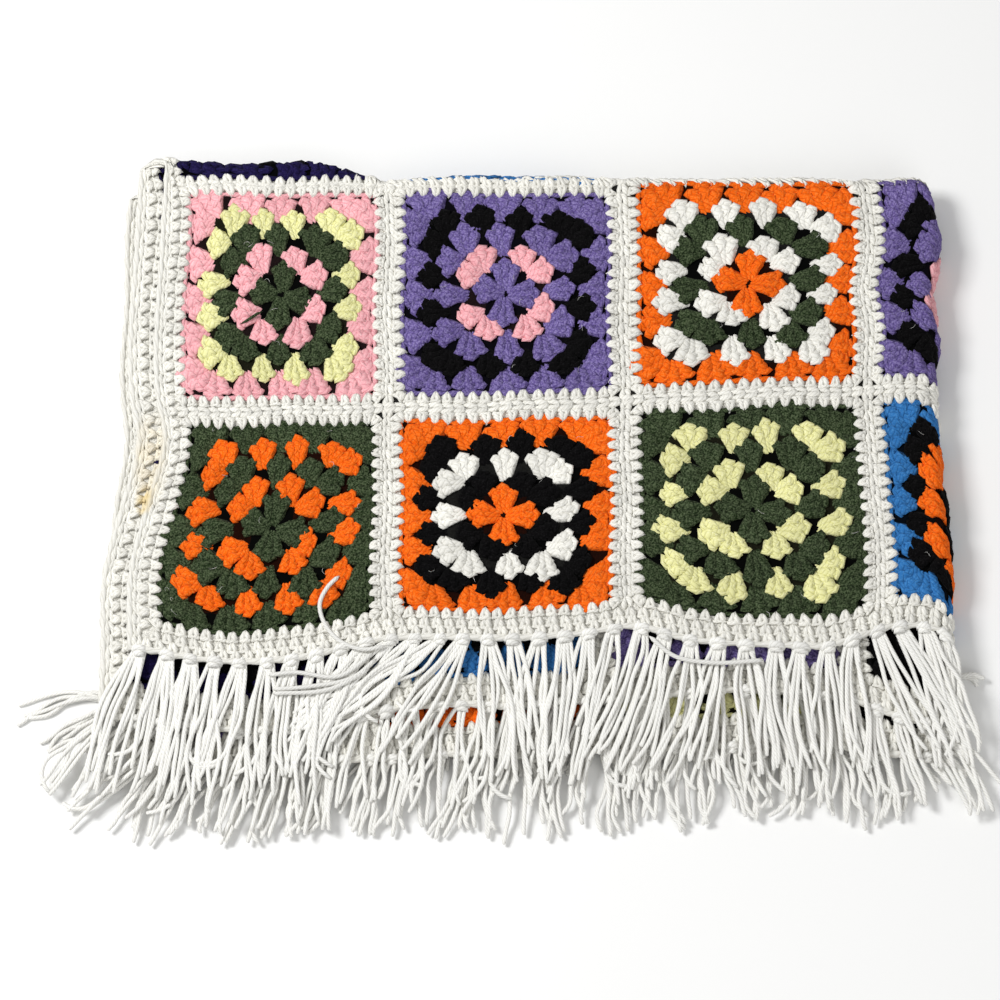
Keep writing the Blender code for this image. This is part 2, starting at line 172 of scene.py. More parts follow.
def pile_height(layer, x, y):
    """Height in the pile of a layer that would lie at the given one."""
    floor = THICKNESS / 2
    return floor + (settle(layer, x, y) - floor) * loft(x, y)


def along_pile(u):
    """Distance from the left at which a place across the flat blanket ends up."""
    past = np.maximum(u - FOLD_U - math.pi * OUTER_RADIUS, 0.0)
    return np.minimum(u, FOLD_U) - past * LOWER_EASE


def fold_line(u):
    """The v at which the top fold begins, across the flat blanket."""
    return FOLD_V + line_value(FOLD_LINE, along_pile(u))


def lay(u, v):
    """Fold the middle of the cloth: its place, the way its right side faces, its height before
    it sinks past the near edge, and how far round the side fold it is."""
    start = fold_line(u)
    half_turn = math.pi * FOLD_RADIUS
    top_turn = np.clip((v - start) / half_turn, 0.0, 1.0)
    back = np.maximum(v - start - half_turn, 0.0)
    ease = (start + FAR_EDGE_DROP) / (LENGTH - start - half_turn)
    top_angle = math.pi * top_turn
    y = np.minimum(v, start) + FOLD_RADIUS * np.sin(top_angle) - back * ease
    rise = FOLD_RADIUS * (np.cos(top_angle) - 1.0)

    u = u - INNER_SHIFT * smooth(top_turn)
    side_turn = np.clip((u - FOLD_U) / (math.pi * OUTER_RADIUS), 0.0, 1.0)
    side_angle = math.pi * side_turn
    radius = OUTER_RADIUS + rise
    x = along_pile(u) + radius * np.sin(side_angle)
    height = PILE_MIDDLE + radius * np.cos(side_angle)

    lower = smooth(side_turn)
    slide = LOWER_SLIDE + LOWER_SLANT * np.maximum(FOLD_U - x, 0.0)
    y = y - lower * slide * (1.0 - (1.0 - LOWER_TOP_SLIDE) * np.clip(y / FOLD_V, 0.0, 1.0))
    from_edge = np.minimum(v, LENGTH - v)
    past_seam = smooth(from_edge, 0.0, ROW_SEAM_V)
    wander = 1.0 - (1.0 - LOWER_EDGE) * lower
    left = LEFT_PULL + wander * (line_value(LEFT_LINE, y) - LEFT_PULL)
    right = line_value(RIGHT_LINE, y) * smooth(x, *RIGHT_REACH)
    edge = np.where(v < start, line_value(EDGE_LINE, x), line_value(EDGE_LINE, x, 2))
    y = y + wander * (edge * (1.0 - past_seam)
                      + line_value(ROW_LINE, x) * past_seam
                      * (1.0 - smooth(from_edge, ROW_SEAM_V, FOLD_V)))
    x = (x + left * (1.0 - np.clip(x / LEFT_REACH, 0.0, 1.0)) + right
         + line_value(COLUMN_LINE, x))

    place = np.stack([x, y, pile_height(height, x, y)], axis=-1)
    out = np.stack([np.cos(top_angle) * np.sin(side_angle), np.sin(top_angle),
                    np.cos(top_angle) * np.cos(side_angle)], axis=-1)
    return place, out, height, side_turn


# Where it rounds the top fold, the left border is pulled thin: how much, at which v, and how far
# this reaches along it and in from it.
FOLD_PULL = 0.009
FOLD_PULL_V = 0.326
FOLD_PULL_REACH = 0.020
FOLD_PULL_IN = 5 * BORDER
# Hand work is never quite square, and each square is a little puffed. Each wave's height and its
# two lengths, and for the wide ones how they skew.
WIDE_U = (0.0009, 0.087, 0.131, 5)
WIDE_V = (0.0009, 0.079, 0.117, 4)
SMALL_U = (0.00045, 0.0151, 0.0331)
SMALL_V = (0.00045, 0.0137, 0.0293)
PUFF = (0.0005, 0.061, 0.083)
FLOOR_GAP = 0.0002


def wide_wave(along, across, height, length, cross_length, skew):
    """How far a wide, skewed wave moves a place."""
    return height * ripple(along, length, skew * across) * ripple(across, cross_length)


def small_wave(along, across, height, length, cross_length):
    """How far a small wave moves a place, itself wavering across."""
    return height * ripple(along / length + ripple(across, cross_length), 1.0)


def fold(points):
    """Carry points of the flat blanket to where they lie in the pile."""
    u, v, w = points.T
    beside = smooth(u, 0.0, BORDER) * (1.0 - smooth(u, BORDER, FOLD_PULL_IN))
    u = u - FOLD_PULL * beside * np.exp(-((v - FOLD_PULL_V) / FOLD_PULL_REACH) ** 2)
    place, out, _, _ = lay(u + wide_wave(v, u, *WIDE_U) + small_wave(v, u, *SMALL_U),
                           v + wide_wave(u, v, *WIDE_V) + small_wave(u, v, *SMALL_V))
    puff = PUFF[0] * ripple(u + v, PUFF[1]) * ripple(u - v, PUFF[2])
    place = place + out * (w + puff)[:, None] - (*ORIGIN, 0.0)
    place[:, 2] = np.maximum(place[:, 2], FLOOR_GAP)
    return place


FOLDED_ROW = 2                      # this row of squares starts on the top fold
# The seam before it is drawn off its line: how far to the far side, by column.
SEAM_DRAWN = (-0.0065, -0.0085, 0.0075, 0.0090, 0.0090, 0.0090, 0.0090)


def square_box(column, row):
    """The near left corner of a square's coloured rounds, and their height."""
    left = BORDER + column * (SQUARE_WIDTH + SEAM)
    near = BORDER + sum(ROW_HEIGHTS[:row]) + row * SEAM
    height = ROW_HEIGHTS[row]
    if row == FOLDED_ROW:
        near += SEAM_DRAWN[column]
        height -= SEAM_DRAWN[column]
    elif row == FOLDED_ROW - 1:
        height += max(SEAM_DRAWN[column], 0.0)
    return left, near, height


def vertices(mesh):
    """A mesh's points as rows of x, y and z."""
    points = np.empty(len(mesh.vertices) * 3)
    mesh.vertices.foreach_get("co", points)
    return points.reshape(-1, 3)


def put_vertices(mesh, points):
    """Move a mesh's points."""
    mesh.vertices.foreach_set("co", np.ascontiguousarray(points).ravel())
    mesh.update()


def ride(piece):
    """Let a piece ride on the part."""
    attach(piece, "root")
    return piece


def carry(piece):
    """Fold a piece that was made flat, to ride on the part."""
    put_vertices(piece.data, fold(vertices(piece.data)))
    return ride(piece)


# ---- Yarn ----
# Worsted acrylic, about 3 mm thick, spun from four plies with a soft nap. The twist shows as
# slanting grooves on every strand, with painted shade in them, and each colour has its own
# flecks.
PLIES = 4
TWIST_LENGTH = 0.011                # one full turn of the plies
NAP_GRAIN = 1 / 0.0011              # the nap's fuzz and flecks, 1.1 mm apart
STAIN_GRAIN = 1 / 0.009             # the patches of a stain, 9 mm apart
JOINED = 0.00001                    # points this close become one


def linear(colour):
    """An sRGB hex colour as the linear numbers that shaders take."""
    parts = [int(colour[k:k + 2], 16) / 255 for k in (0, 2, 4)]
    return (*[p / 12.92 if p <= 0.04045 else ((p + 0.055) / 1.055) ** 2.4 for p in parts], 1.0)


def fill(tree, node, values):
    """Put values on a node's inputs, or link them there. A node stands for its first output."""
    for key, value in values.items():
        if isinstance(value, bpy.types.Node):
            value = value.outputs[0]
        if isinstance(value, bpy.types.NodeSocket):
            tree.links.new(value, node.inputs[key])
        else:
            node.inputs[key].default_value = value


def add(tree, kind, values=None, **settings):
    """Add a node with its settings and its inputs' values."""
    node = tree.nodes.new(kind)
    for name, value in settings.items():
        setattr(node, name, value)
    fill(tree, node, values or {})
    return node


def new_material(name):
    """A material, its node tree and its shader."""
    made = bpy.data.materials.new(name)
    made.use_nodes = True
    return made, made.node_tree, made.node_tree.nodes["Principled BSDF"]


def yarn(name, colour, groove_shade, fleck, fleck_share):
    """Matt plied yarn: its colour, the painted shade in its grooves and the colour of its flecks.
    """
    made, tree, shader = new_material(name)
    uv = add(tree, "ShaderNodeUVMap", uv_map="UVMap")
    parts = add(tree, "ShaderNodeSeparateXYZ", {0: uv})
    turns = add(tree, "ShaderNodeMath", {0: parts, 1: parts.outputs[1]})
    phase = add(tree, "ShaderNodeMath", {0: turns, 1: PLIES * math.pi}, operation="MULTIPLY")
    wave = add(tree, "ShaderNodeMath", {0: phase}, operation="SINE")
    ply = add(tree, "ShaderNodeMath", {0: wave}, operation="ABSOLUTE")
    place = add(tree, "ShaderNodeTexCoord")
    nap = add(tree, "ShaderNodeTexNoise", {"Vector": place.outputs["Object"],
                                           "Scale": NAP_GRAIN, "Detail": 3.0, "Roughness": 0.6})
    flecks = add(tree, "ShaderNodeMapRange", {"Value": nap, "From Min": 0.60 - fleck_share,
                                              "From Max": 0.80 - fleck_share})
    # painted shade: the grooves between the plies are darkened towards the groove colour
    painted_groove_shade = add(tree, "ShaderNodeMapRange",
                  {"Value": ply, "From Max": 0.55, "To Min": 0.6, "To Max": 0.0})
    body = add(tree, "ShaderNodeMix", {"Factor": flecks, "A": linear(colour), "B": linear(fleck)},
               data_type="RGBA")
    shaded = add(tree, "ShaderNodeMix", {"Factor": painted_groove_shade, "A": body.outputs["Result"],
                                         "B": linear(groove_shade)}, data_type="RGBA")
    # the tone differs at random; on the fringe it also holds painted light by layer
    tone = add(tree, "ShaderNodeAttribute", attribute_name="tone")
    level = add(tree, "ShaderNodeMapRange", {"Value": tone.outputs["Fac"], "To Min": 0.86})
    toned = add(tree, "ShaderNodeVectorMath", {0: shaded.outputs["Result"], "Scale": level},
                operation="SCALE")
    relief = add(tree, "ShaderNodeMath", {0: nap, 1: 0.7, 2: ply}, operation="MULTIPLY_ADD")
    bump = add(tree, "ShaderNodeBump", {"Height": relief, "Strength": 0.6, "Distance": 0.0003})
    fill(tree, shader, {"Base Color": toned, "Normal": bump, "Roughness": 0.92,
                        "Specular IOR Level": 0.06, "Sheen Weight": 0.015,
                        "Sheen Roughness": 0.5})
    return made


def stain(material, place, reach, colour, strength):
    """Age a yarn with a soft-edged stain round a place, reaching this far each way."""
    tree = material.node_tree
    shader = tree.nodes["Principled BSDF"]
    clean = shader.inputs["Base Color"].links[0].from_socket
    where = add(tree, "ShaderNodeTexCoord").outputs["Object"]
    centred = add(tree, "ShaderNodeVectorMath", {0: where, 1: place}, operation="SUBTRACT")
    sized = add(tree, "ShaderNodeVectorMath", {0: centred, 1: reach}, operation="DIVIDE")
    ball = add(tree, "ShaderNodeTexGradient", {0: sized}, gradient_type="SPHERICAL")
    patches = add(tree, "ShaderNodeTexNoise",
                  {"Vector": where, "Scale": STAIN_GRAIN, "Detail": 2.0})
    broken = add(tree, "ShaderNodeMath", {0: ball.outputs["Fac"], 1: patches},
                 operation="MULTIPLY")
    amount = add(tree, "ShaderNodeMapRange",
                 {"Value": broken, "From Min": 0.02, "From Max": 0.30, "To Max": strength})
    mixed = add(tree, "ShaderNodeMix", {"Factor": amount, "A": clean, "B": linear(colour)},
                data_type="RGBA", blend_type="MULTIPLY")
    fill(tree, shader, {"Base Color": mixed.outputs["Result"]})


def start_tree(name, inputs):
    """A Geometry Nodes tree with its named inputs, and what they give. Each has its kind and,
    where it has one, its usual value."""
    tree = bpy.data.node_groups.new(name, "GeometryNodeTree")
    tree.interface.new_socket("Geometry", in_out="OUTPUT", socket_type="NodeSocketGeometry")
    for given, (kind, *usual) in inputs.items():
        socket = tree.interface.new_socket(given, in_out="INPUT",
                                           socket_type="NodeSocket" + kind)
        for value in usual:
            socket.default_value = value
    return tree, add(tree, "NodeGroupInput").outputs


def end_tree(tree, geometry, dye):
    """End a tree in real geometry with its yarn."""
    real = add(tree, "GeometryNodeRealizeInstances", {0: geometry})
    dyed = add(tree, "GeometryNodeSetMaterial", {"Geometry": real, "Material": dye})
    add(tree, "NodeGroupOutput", {0: dyed})
    return tree


def yarn_tree():
    """Geometry Nodes: round strands of yarn along paths, which carry their own radius.

    A path whose radius ends in nothing is closed there. The UV map holds the way round the
    strand and the turns of the twist along it.
    """
    tree, given = start_tree("Yarn along paths", {
        "Paths": ("Geometry",), "Sides": ("Int", 5), "Twist Length": ("Float", TWIST_LENGTH),
        "Yarn": ("Material",)})
    curve = add(tree, "GeometryNodeMeshToCurve", {0: given["Paths"]})
    where = add(tree, "GeometryNodeSplineParameter")
    turns = add(tree, "ShaderNodeMath", {0: where.outputs["Length"], 1: given["Twist Length"]},
                operation="DIVIDE")
    strand = add(tree, "GeometryNodeStoreNamedAttribute",
                 {"Geometry": curve, "Name": "turns", "Value": turns})
    corners = add(tree, "ShaderNodeMath", {0: given["Sides"], 1: 1.0})
    ring = add(tree, "GeometryNodeCurveArc",
               {"Resolution": corners, "Radius": 1.0, "Start Angle": 0.0,
                "Sweep Angle": 2 * math.pi}, mode="RADIUS")
    round_it = add(tree, "GeometryNodeSplineParameter")
    profile = add(tree, "GeometryNodeStoreNamedAttribute",
                  {"Geometry": ring, "Name": "around", "Value": round_it})
    radius = add(tree, "GeometryNodeInputNamedAttribute", {"Name": "radius"})
    tube = add(tree, "GeometryNodeCurveToMesh",
               {"Curve": strand, "Profile Curve": profile, "Scale": radius})
    around = add(tree, "GeometryNodeInputNamedAttribute", {"Name": "around"})
    along = add(tree, "GeometryNodeInputNamedAttribute", {"Name": "turns"})
    both = add(tree, "ShaderNodeCombineXYZ", {0: around, 1: along})
    mapped = add(tree, "GeometryNodeStoreNamedAttribute",
                 {"Geometry": tube, "Name": "UVMap", "Value": both},
                 data_type="FLOAT2", domain="CORNER")
    closed = add(tree, "GeometryNodeMergeByDistance", {"Geometry": mapped, "Distance": JOINED})
    soft = add(tree, "GeometryNodeSetShadeSmooth", {"Geometry": closed})
    return end_tree(tree, soft, given["Yarn"])


def placing_tree():
    """Geometry Nodes: one stitch on each point, turned and sized as the point says, each a
    little different from the next."""
    tree, given = start_tree("Stitches in place", {
        "Places": ("Geometry",), "Stitch": ("Object",), "Turn Spread": ("Float", 0.07),
        "Size Spread": ("Float", 0.06), "Seed": ("Int", 0), "Yarn": ("Material",)})
    heading = add(tree, "GeometryNodeInputNamedAttribute", {"Name": "heading"})
    face = add(tree, "GeometryNodeInputNamedAttribute", {"Name": "face"})
    size = add(tree, "GeometryNodeInputNamedAttribute", {"Name": "size"},
               data_type="FLOAT_VECTOR")
    other_seed = add(tree, "ShaderNodeMath", {0: given["Seed"], 1: 1.0})
    leaning, growing, tone = [
        add(tree, "FunctionNodeRandomValue", {"Min": least, "Max": 1.0, "Seed": seed})
        .outputs["Value"] for least, seed in ((-1.0, given["Seed"]), (-1.0, other_seed),
                                              (0.0, given["Seed"]))]
    turn = add(tree, "ShaderNodeMath", {0: leaning, 1: given["Turn Spread"], 2: heading},
               operation="MULTIPLY_ADD")
    euler = add(tree, "ShaderNodeCombineXYZ", {1: face, 2: turn})
    rotation = add(tree, "FunctionNodeEulerToRotation", {0: euler})
    growth = add(tree, "ShaderNodeMath", {0: growing, 1: given["Size Spread"], 2: 1.0},
                 operation="MULTIPLY_ADD")
    scale = add(tree, "ShaderNodeVectorMath", {0: size, "Scale": growth}, operation="SCALE")
    stitch = add(tree, "GeometryNodeObjectInfo", {"Object": given["Stitch"]})
    placed = add(tree, "GeometryNodeInstanceOnPoints",
                 {"Points": given["Places"], "Instance": stitch.outputs["Geometry"],
                  "Rotation": rotation, "Scale": scale})
    toned = add(tree, "GeometryNodeStoreNamedAttribute",
                {"Geometry": placed, "Name": "tone", "Value": tone}, domain="INSTANCE")
    return end_tree(tree, toned, given["Yarn"])


def apply_modifiers(piece):
    """Make what a piece's modifiers give its own mesh, and remove them."""
    evaluated = piece.evaluated_get(bpy.context.evaluated_depsgraph_get())
    mesh = bpy.data.meshes.new_from_object(evaluated)
    piece.modifiers.clear()
    piece.data = mesh
    mesh.name = piece.name


def grow(name, source, tree, **inputs):
    """Run a node tree on a mesh and keep the result as a plain mesh object."""
    piece = bpy.data.objects.new(name, source)
    bpy.context.scene.collection.objects.link(piece)
    nodes = piece.modifiers.new(name, "NODES")
    nodes.node_group = tree
    for socket in tree.interface.items_tree:
        key = socket.name.replace(" ", "_").lower()
        if socket.in_out == "INPUT" and key in inputs:
            nodes[socket.identifier] = inputs[key]
    apply_modifiers(piece)
    return piece


def store(mesh, name, values, kind="FLOAT"):
    """Keep a number, or a vector, on each of a mesh's points."""
    key = "value" if kind == "FLOAT" else "vector"
    mesh.attributes.new(name, kind, "POINT").data.foreach_set(key, values.ravel())


def path_mesh(name, paths, tones_and_painted_light=None):
    """Paths as chains of edges. A path's rows are x, y, z and the yarn's radius."""
    points = np.concatenate(paths)
    sizes = [len(path) for path in paths]
    starts = np.setdiff1d(np.arange(len(points) - 1), np.cumsum(sizes)[:-1] - 1)
    mesh = bpy.data.meshes.new(name)
    mesh.from_pydata(points[:, :3].tolist(), np.stack([starts, starts + 1], axis=1).tolist(), [])
    store(mesh, "radius", points[:, 3])
    if tones_and_painted_light is not None:
        store(mesh, "tone", np.repeat(tones_and_painted_light, sizes))
    return mesh


def places_mesh(name, rows):
    """Points for stitches, from rows of u, v, w, heading, face and the three sizes."""
    rows = np.array(rows)
    mesh = bpy.data.meshes.new(name)
    mesh.from_pydata(rows[:, :3].tolist(), [], [])
    store(mesh, "heading", rows[:, 3])
    store(mesh, "face", rows[:, 4])
    store(mesh, "size", rows[:, 5:8], "FLOAT_VECTOR")
    return mesh


def strands_of_yarn(name, paths, yarn_name, tones_and_painted_light=None, **inputs):
    """Strands of one yarn along paths."""
    return grow(name, path_mesh(name, paths, tones_and_painted_light), along_paths, yarn=YARNS[yarn_name],
                **inputs)


along_paths = yarn_tree()
in_place = placing_tree()

# Each yarn: its material, its colour, its grooves' painted shade, its flecks' colour and their
# share.
YARN_SHADES = {
    "green": ("acrylic_yarn_moss_green", "1D2B15", "0A1008", "566247", 0.19),
    "pink": ("acrylic_yarn_pink", "F4B0B6", "CE7C88", "FBC9CC", 0.12),
    "yellow": ("acrylic_yarn_pale_yellow", "E9E7A6", "B4B06C", "F6F4C8", 0.10),
    "purple": ("acrylic_yarn_purple", "62528F", "2E2455", "8F82B6", 0.18),
    "black": ("acrylic_yarn_black", "070607", "020202", "181718", 0.10),
    "orange": ("acrylic_yarn_orange", "F86810", "B03C04", "FF8A3A", 0.12),
    "blue": ("acrylic_yarn_blue", "3273B4", "1A4374", "4D8CC8", 0.12),
    "navy": ("acrylic_yarn_navy", "1C1540", "0A0720", "30295A", 0.12),
    "white": ("acrylic_yarn_cream_white", "F0EEE6", "CBC8BC", "F8F7F2", 0.12),
    "fringe": ("acrylic_yarn_fringe_white", "F4F3EE", "CFCDC4", "FBFAF7", 0.12),
}
YARNS = {name: yarn(*shades) for name, shades in YARN_SHADES.items()}
# The white yarn has yellowed a little on the left border.
stain(YARNS["white"], (-0.2272, -0.0028, 0.024), (0.007, 0.013, 0.030), "F5D77C", 0.60)
stain(YARNS["white"], (-0.2240, 0.0243, 0.024), (0.014, 0.040, 0.030), "F8E6BE", 0.38)

# ---- The backs of the stitches ----
# Behind the plump fronts of the stitches lies the closed back of the same yarn, a thin sheet
# whose colour is painted shade: the yarn's own colour, darkened most in the squares' gaps.
ROUNDS = 5
YARN_OF = {"g": "green", "p": "pink", "y": "yellow", "v": "purple", "k": "black",
           "o": "orange", "b": "blue", "n": "navy", "w": "white"}
# The squares' yarns, from the first round out, by row from the near edge and by column.
CHART = (
    ("gogog", "okwko", "gygyg", "bkokb", "vpvkv", "pgpgp", "yovoy"),
    ("gpgyp", "vpvkv", "owgwo", "vpvkv", "gogog", "ybykb", "wpgwg"),
    ("nygkn", "owobb", "gpgwg", "opkvo", "kykgk", "vwvov", "gogpg"),
    ("vyvkn", "wopkb", "gyokv", "obokk", "wgwky", "gvpoo", "bybkv"),
)
BACK_THICKNESS = 0.0014
SEAM_SHADE = 0.92                   # painted shade, as a part of the yarn's colour: by the seams,
SQUARE_SHADE = 0.012                # near black in the squares, for their deep gaps,
CROSSING_SHADE = 0.02               # and dark for the small hole where four squares meet
CROSSING_REACH = 0.0075
# Its cells, as (length, number) of a stretch: finer where it rounds the top fold.
SQUARE_CELLS = 20
BORDER_CELLS = (BORDER, 3)
SEAM_CELLS = (SEAM, 4)
FOLD_STRETCH = 0.030
FOLD_CELLS = ((SEAM, 8), (FOLD_STRETCH, 15), (ROW_HEIGHTS[2] - FOLD_STRETCH, 16))


def stations(cuts):
    """Places from 0 on, as (length, cells) stretches one after another."""
    places = [0.0]
    for length, cells in cuts:
        places += [places[-1] + length * (k + 1) / cells for k in range(cells)]
    return np.array(places)


def yarn_at(u, v):
    """The yarn of a square at a place of the flat blanket, or nothing between the squares."""
    for column, row in SQUARES:
        left, near, height = square_box(column, row)
        s = abs(u - left - SQUARE_WIDTH / 2) / (SQUARE_WIDTH / 2)
        t = abs(v - near - height / 2) / (height / 2)
        if max(s, t) < 1.0:
            return YARN_OF[CHART[row][column][int(max(s, t) * ROUNDS)]]
    return None


def at_crossing(u, v):
    """Whether a place lies where four squares meet."""
    step = SQUARE_WIDTH + SEAM
    beside = abs((u - BORDER + SEAM / 2 + step / 2) % step - step / 2)
    ends = [square_box(0, row)[1] - SEAM / 2 for row in range(1, len(ROW_HEIGHTS))]
    above = min(abs(v - end) for end in ends)
    inside = BORDER < u < WIDTH - BORDER
    return inside and max(beside, above) < CROSSING_REACH


def backs():
    """The sheet behind the stitches, with each place's yarn colour darkened by painted shade."""
    across = [BORDER_CELLS] + [(SQUARE_WIDTH, SQUARE_CELLS), SEAM_CELLS] * COLUMNS
    across[-1] = BORDER_CELLS
    along = [BORDER_CELLS, (ROW_HEIGHTS[0], SQUARE_CELLS), SEAM_CELLS,
             (ROW_HEIGHTS[1], SQUARE_CELLS), *FOLD_CELLS, SEAM_CELLS,
             (ROW_HEIGHTS[3], SQUARE_CELLS), BORDER_CELLS]
    u, v = stations(across), stations(along)
    bm = bmesh.new()
    bmesh.ops.create_grid(bm, x_segments=len(u) - 1, y_segments=len(v) - 1, size=0.5)
    mesh = bpy.data.meshes.new("stitch_backs")
    bm.to_mesh(mesh)
    bm.free()
    points = vertices(mesh)
    i = np.rint((points[:, 0] + 0.5) * (len(u) - 1)).astype(int)
    j = np.rint((points[:, 1] + 0.5) * (len(v) - 1)).astype(int)
    points = np.stack([u[i], v[j], np.zeros(len(points))], axis=1)
    put_vertices(mesh, points)
    colours = []
    for face in mesh.polygons:
        at = face.center[:2]
        name = yarn_at(*at)
        # painted shade: near black in the squares, dark round the holes where squares meet,
        # slight elsewhere
        shade = SQUARE_SHADE if name else CROSSING_SHADE if at_crossing(*at) else SEAM_SHADE
        colour = linear(YARN_SHADES[name or "white"][1])
        colours += [*(part * shade for part in colour[:3]), 1.0] * 4
    mesh.color_attributes.new("shade", "FLOAT_COLOR", "CORNER").data.foreach_set("color", colours)
    put_vertices(mesh, fold(points))
    piece = bpy.data.objects.new("stitch_backs", mesh)
    bpy.context.scene.collection.objects.link(piece)
    solid = piece.modifiers.new("thickness", "SOLIDIFY")
    solid.thickness = BACK_THICKNESS
    solid.offset = 0.0
    apply_modifiers(piece)
    piece.data.shade_smooth()
    return piece


def shaded_yarn():
    """The yarn's back, painted dark as shade: a fuzzy, uneven felt of its own colour."""
    made, tree, shader = new_material("acrylic_yarn_backs")
    colour = add(tree, "ShaderNodeAttribute", attribute_name="shade")
    place = add(tree, "ShaderNodeTexCoord")
    fuzz = add(tree, "ShaderNodeTexNoise",
               {"Vector": place.outputs["Object"], "Scale": NAP_GRAIN, "Detail": 3.0})
    level = add(tree, "ShaderNodeMapRange",
                {"Value": fuzz, "From Min": 0.3, "From Max": 0.7, "To Min": 0.5, "To Max": 1.2})
    mixed = add(tree, "ShaderNodeVectorMath", {0: colour.outputs["Color"], "Scale": level},
                operation="SCALE")
    bump = add(tree, "ShaderNodeBump", {"Height": fuzz, "Strength": 0.8, "Distance": 0.0006})
    fill(tree, shader, {"Base Color": mixed, "Normal": bump, "Roughness": 1.0,
                        "Specular IOR Level": 0.1})
    return made


stitch_backs = backs()
stitch_backs.data.materials.append(shaded_yarn())
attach(stitch_backs, "root")
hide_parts("crochet_cloth")

# ---- The squares ----
# Each square is worked from the middle out in five rounds of tall stitches, three to a cluster.
# The clusters of a round stand in the gaps of the last one, and two share each corner.
MM = 0.001
CLUSTER_LENGTH = 0.0205
# One cluster: three tall stitches that fan out of one foot, each a plump post with the yarn
# wrapped over it and its top loop across the end. Rows of x, y, z and the yarn's radius in
# millimetres, y outward.
POST = (
    (0.0, -0.7, -0.9, 0.0), (0.1, 2.6, -0.2, 1.40), (-0.1, 6.4, 0.6, 2.05), (0.1, 9.6, 1.4, 2.20),
    (-0.1, 13.4, 1.7, 2.85), (0.1, 17.0, 1.0, 2.55), (0.1, 19.6, -0.5, 0.0),
)
WRAP = (
    (-2.4, 8.4, 0.4, 0.0), (-1.5, 9.7, 2.6, 1.15), (0.6, 12.0, 3.2, 1.30),
    (2.0, 14.6, 2.6, 1.20), (2.5, 16.0, 0.6, 0.0),
)
CAP = (
    (3.1, 14.6, 0.4, 0.0), (2.1, 17.4, 2.0, 1.60), (-0.6, 18.7, 2.3, 1.75),
    (-2.6, 17.0, 1.9, 1.50), (-3.2, 14.4, 0.4, 0.0),
)
# The three stitches: how far each leans, its shift at the foot and its length.
FAN = ((-14.0, -0.9, 0.86), (0.0, 0.0, 1.0), (14.0, 0.9, 0.85))
# By round: its foot and top from the middle, as parts of half a square, and its width.
ROUND_SHAPES = (
    (-0.010, 0.300, 1.28), (0.135, 0.475, 1.18), (0.325, 0.675, 1.30),
    (0.505, 0.828, 1.26), (0.660, 0.990, 1.66),
)
CORNER_PART = 0.86                  # the corner feet, as a part of the last round's reach
CORNER_LEANS = (0, 2, 3, 5, 9)      # the corner clusters', towards the corner, by round
CORNER_SHORTER = 0.022              # and how much sooner they end, but for the last round's
CORNER_WIDER = 1.14                 # they are worked looser than the others
LEAN = 7                            # clusters lean one way round, as they are worked,
FIRST_LEAN = -7                     # but those of the first round lean back a little
# By hand they differ in place, turn, length and width. Their depth goes by the face that shows.
PLACE_SPREAD = 0.0005
TURN_SPREAD = 0.07
LENGTH_SPREAD = (0.96, 1.05)
WIDTH_SPREAD = (0.95, 1.04)
DEPTHS = {1: 0.9, -1: 0.7}
LAST_DEPTH = 0.75                   # the last round is flatter by this
FOLD_SHOWS = 0.040                  # of the far half, this much shows past the top fold,
EDGE_SHOWS = 0.066                  # this much above its fringed edge
SIDE_SHOWS = 0.060                  # this much from its left edge, less by the fold
FOLD_END_SHOWS = 0.030
END_SHOWS = 0.034                   # and this much of both right ends, under the left edge


def faces_shown(u, v):
    """Which faces of the cloth can be seen at a place: 1 the right side, -1 the wrong side.
    There is none where it is shut in between the layers."""
    past_fold = v - fold_line(np.array([u]))[0]
    at_right_end = u > WIDTH - END_SHOWS
    if past_fold < math.pi * FOLD_RADIUS:
        return (1, -1) if at_right_end else (1,)
    if past_fold < FOLD_SHOWS and u > FOLD_END_SHOWS:
        return (1,)
    if v > LENGTH - EDGE_SHOWS:
        return (-1,) if u < FOLD_U + INNER_SHIFT else (1,)
    if u < SIDE_SHOWS:
        return (-1,)
    return (1,) if at_right_end else ()


def cluster_places(number):
    """The clusters of a round on a square of half size 1: foot, heading, length and width."""
    foot, top, _ = ROUND_SHAPES[number - 1]
    corner = CORNER_PART * (number - 1) / ROUNDS
    for side in range(4):
        for k in range(number):
            across, out, lean = 0.0, foot, FIRST_LEAN
            if number > 1:
                part = 2 * k / (number - 1) - 1
                across, lean = corner * part, LEAN
                if abs(part) == 1:
                    out = corner
                    lean -= CORNER_LEANS[number - 1] * part
            turn = side * math.pi / 2
            s = across * math.cos(turn) - out * math.sin(turn)
            t = across * math.sin(turn) + out * math.cos(turn)
            at_corner = number > 1 and out == corner
            end = top - CORNER_SHORTER if at_corner and number < ROUNDS else top
            yield s, t, turn + math.radians(lean), end - out, CORNER_WIDER if at_corner else 1.0


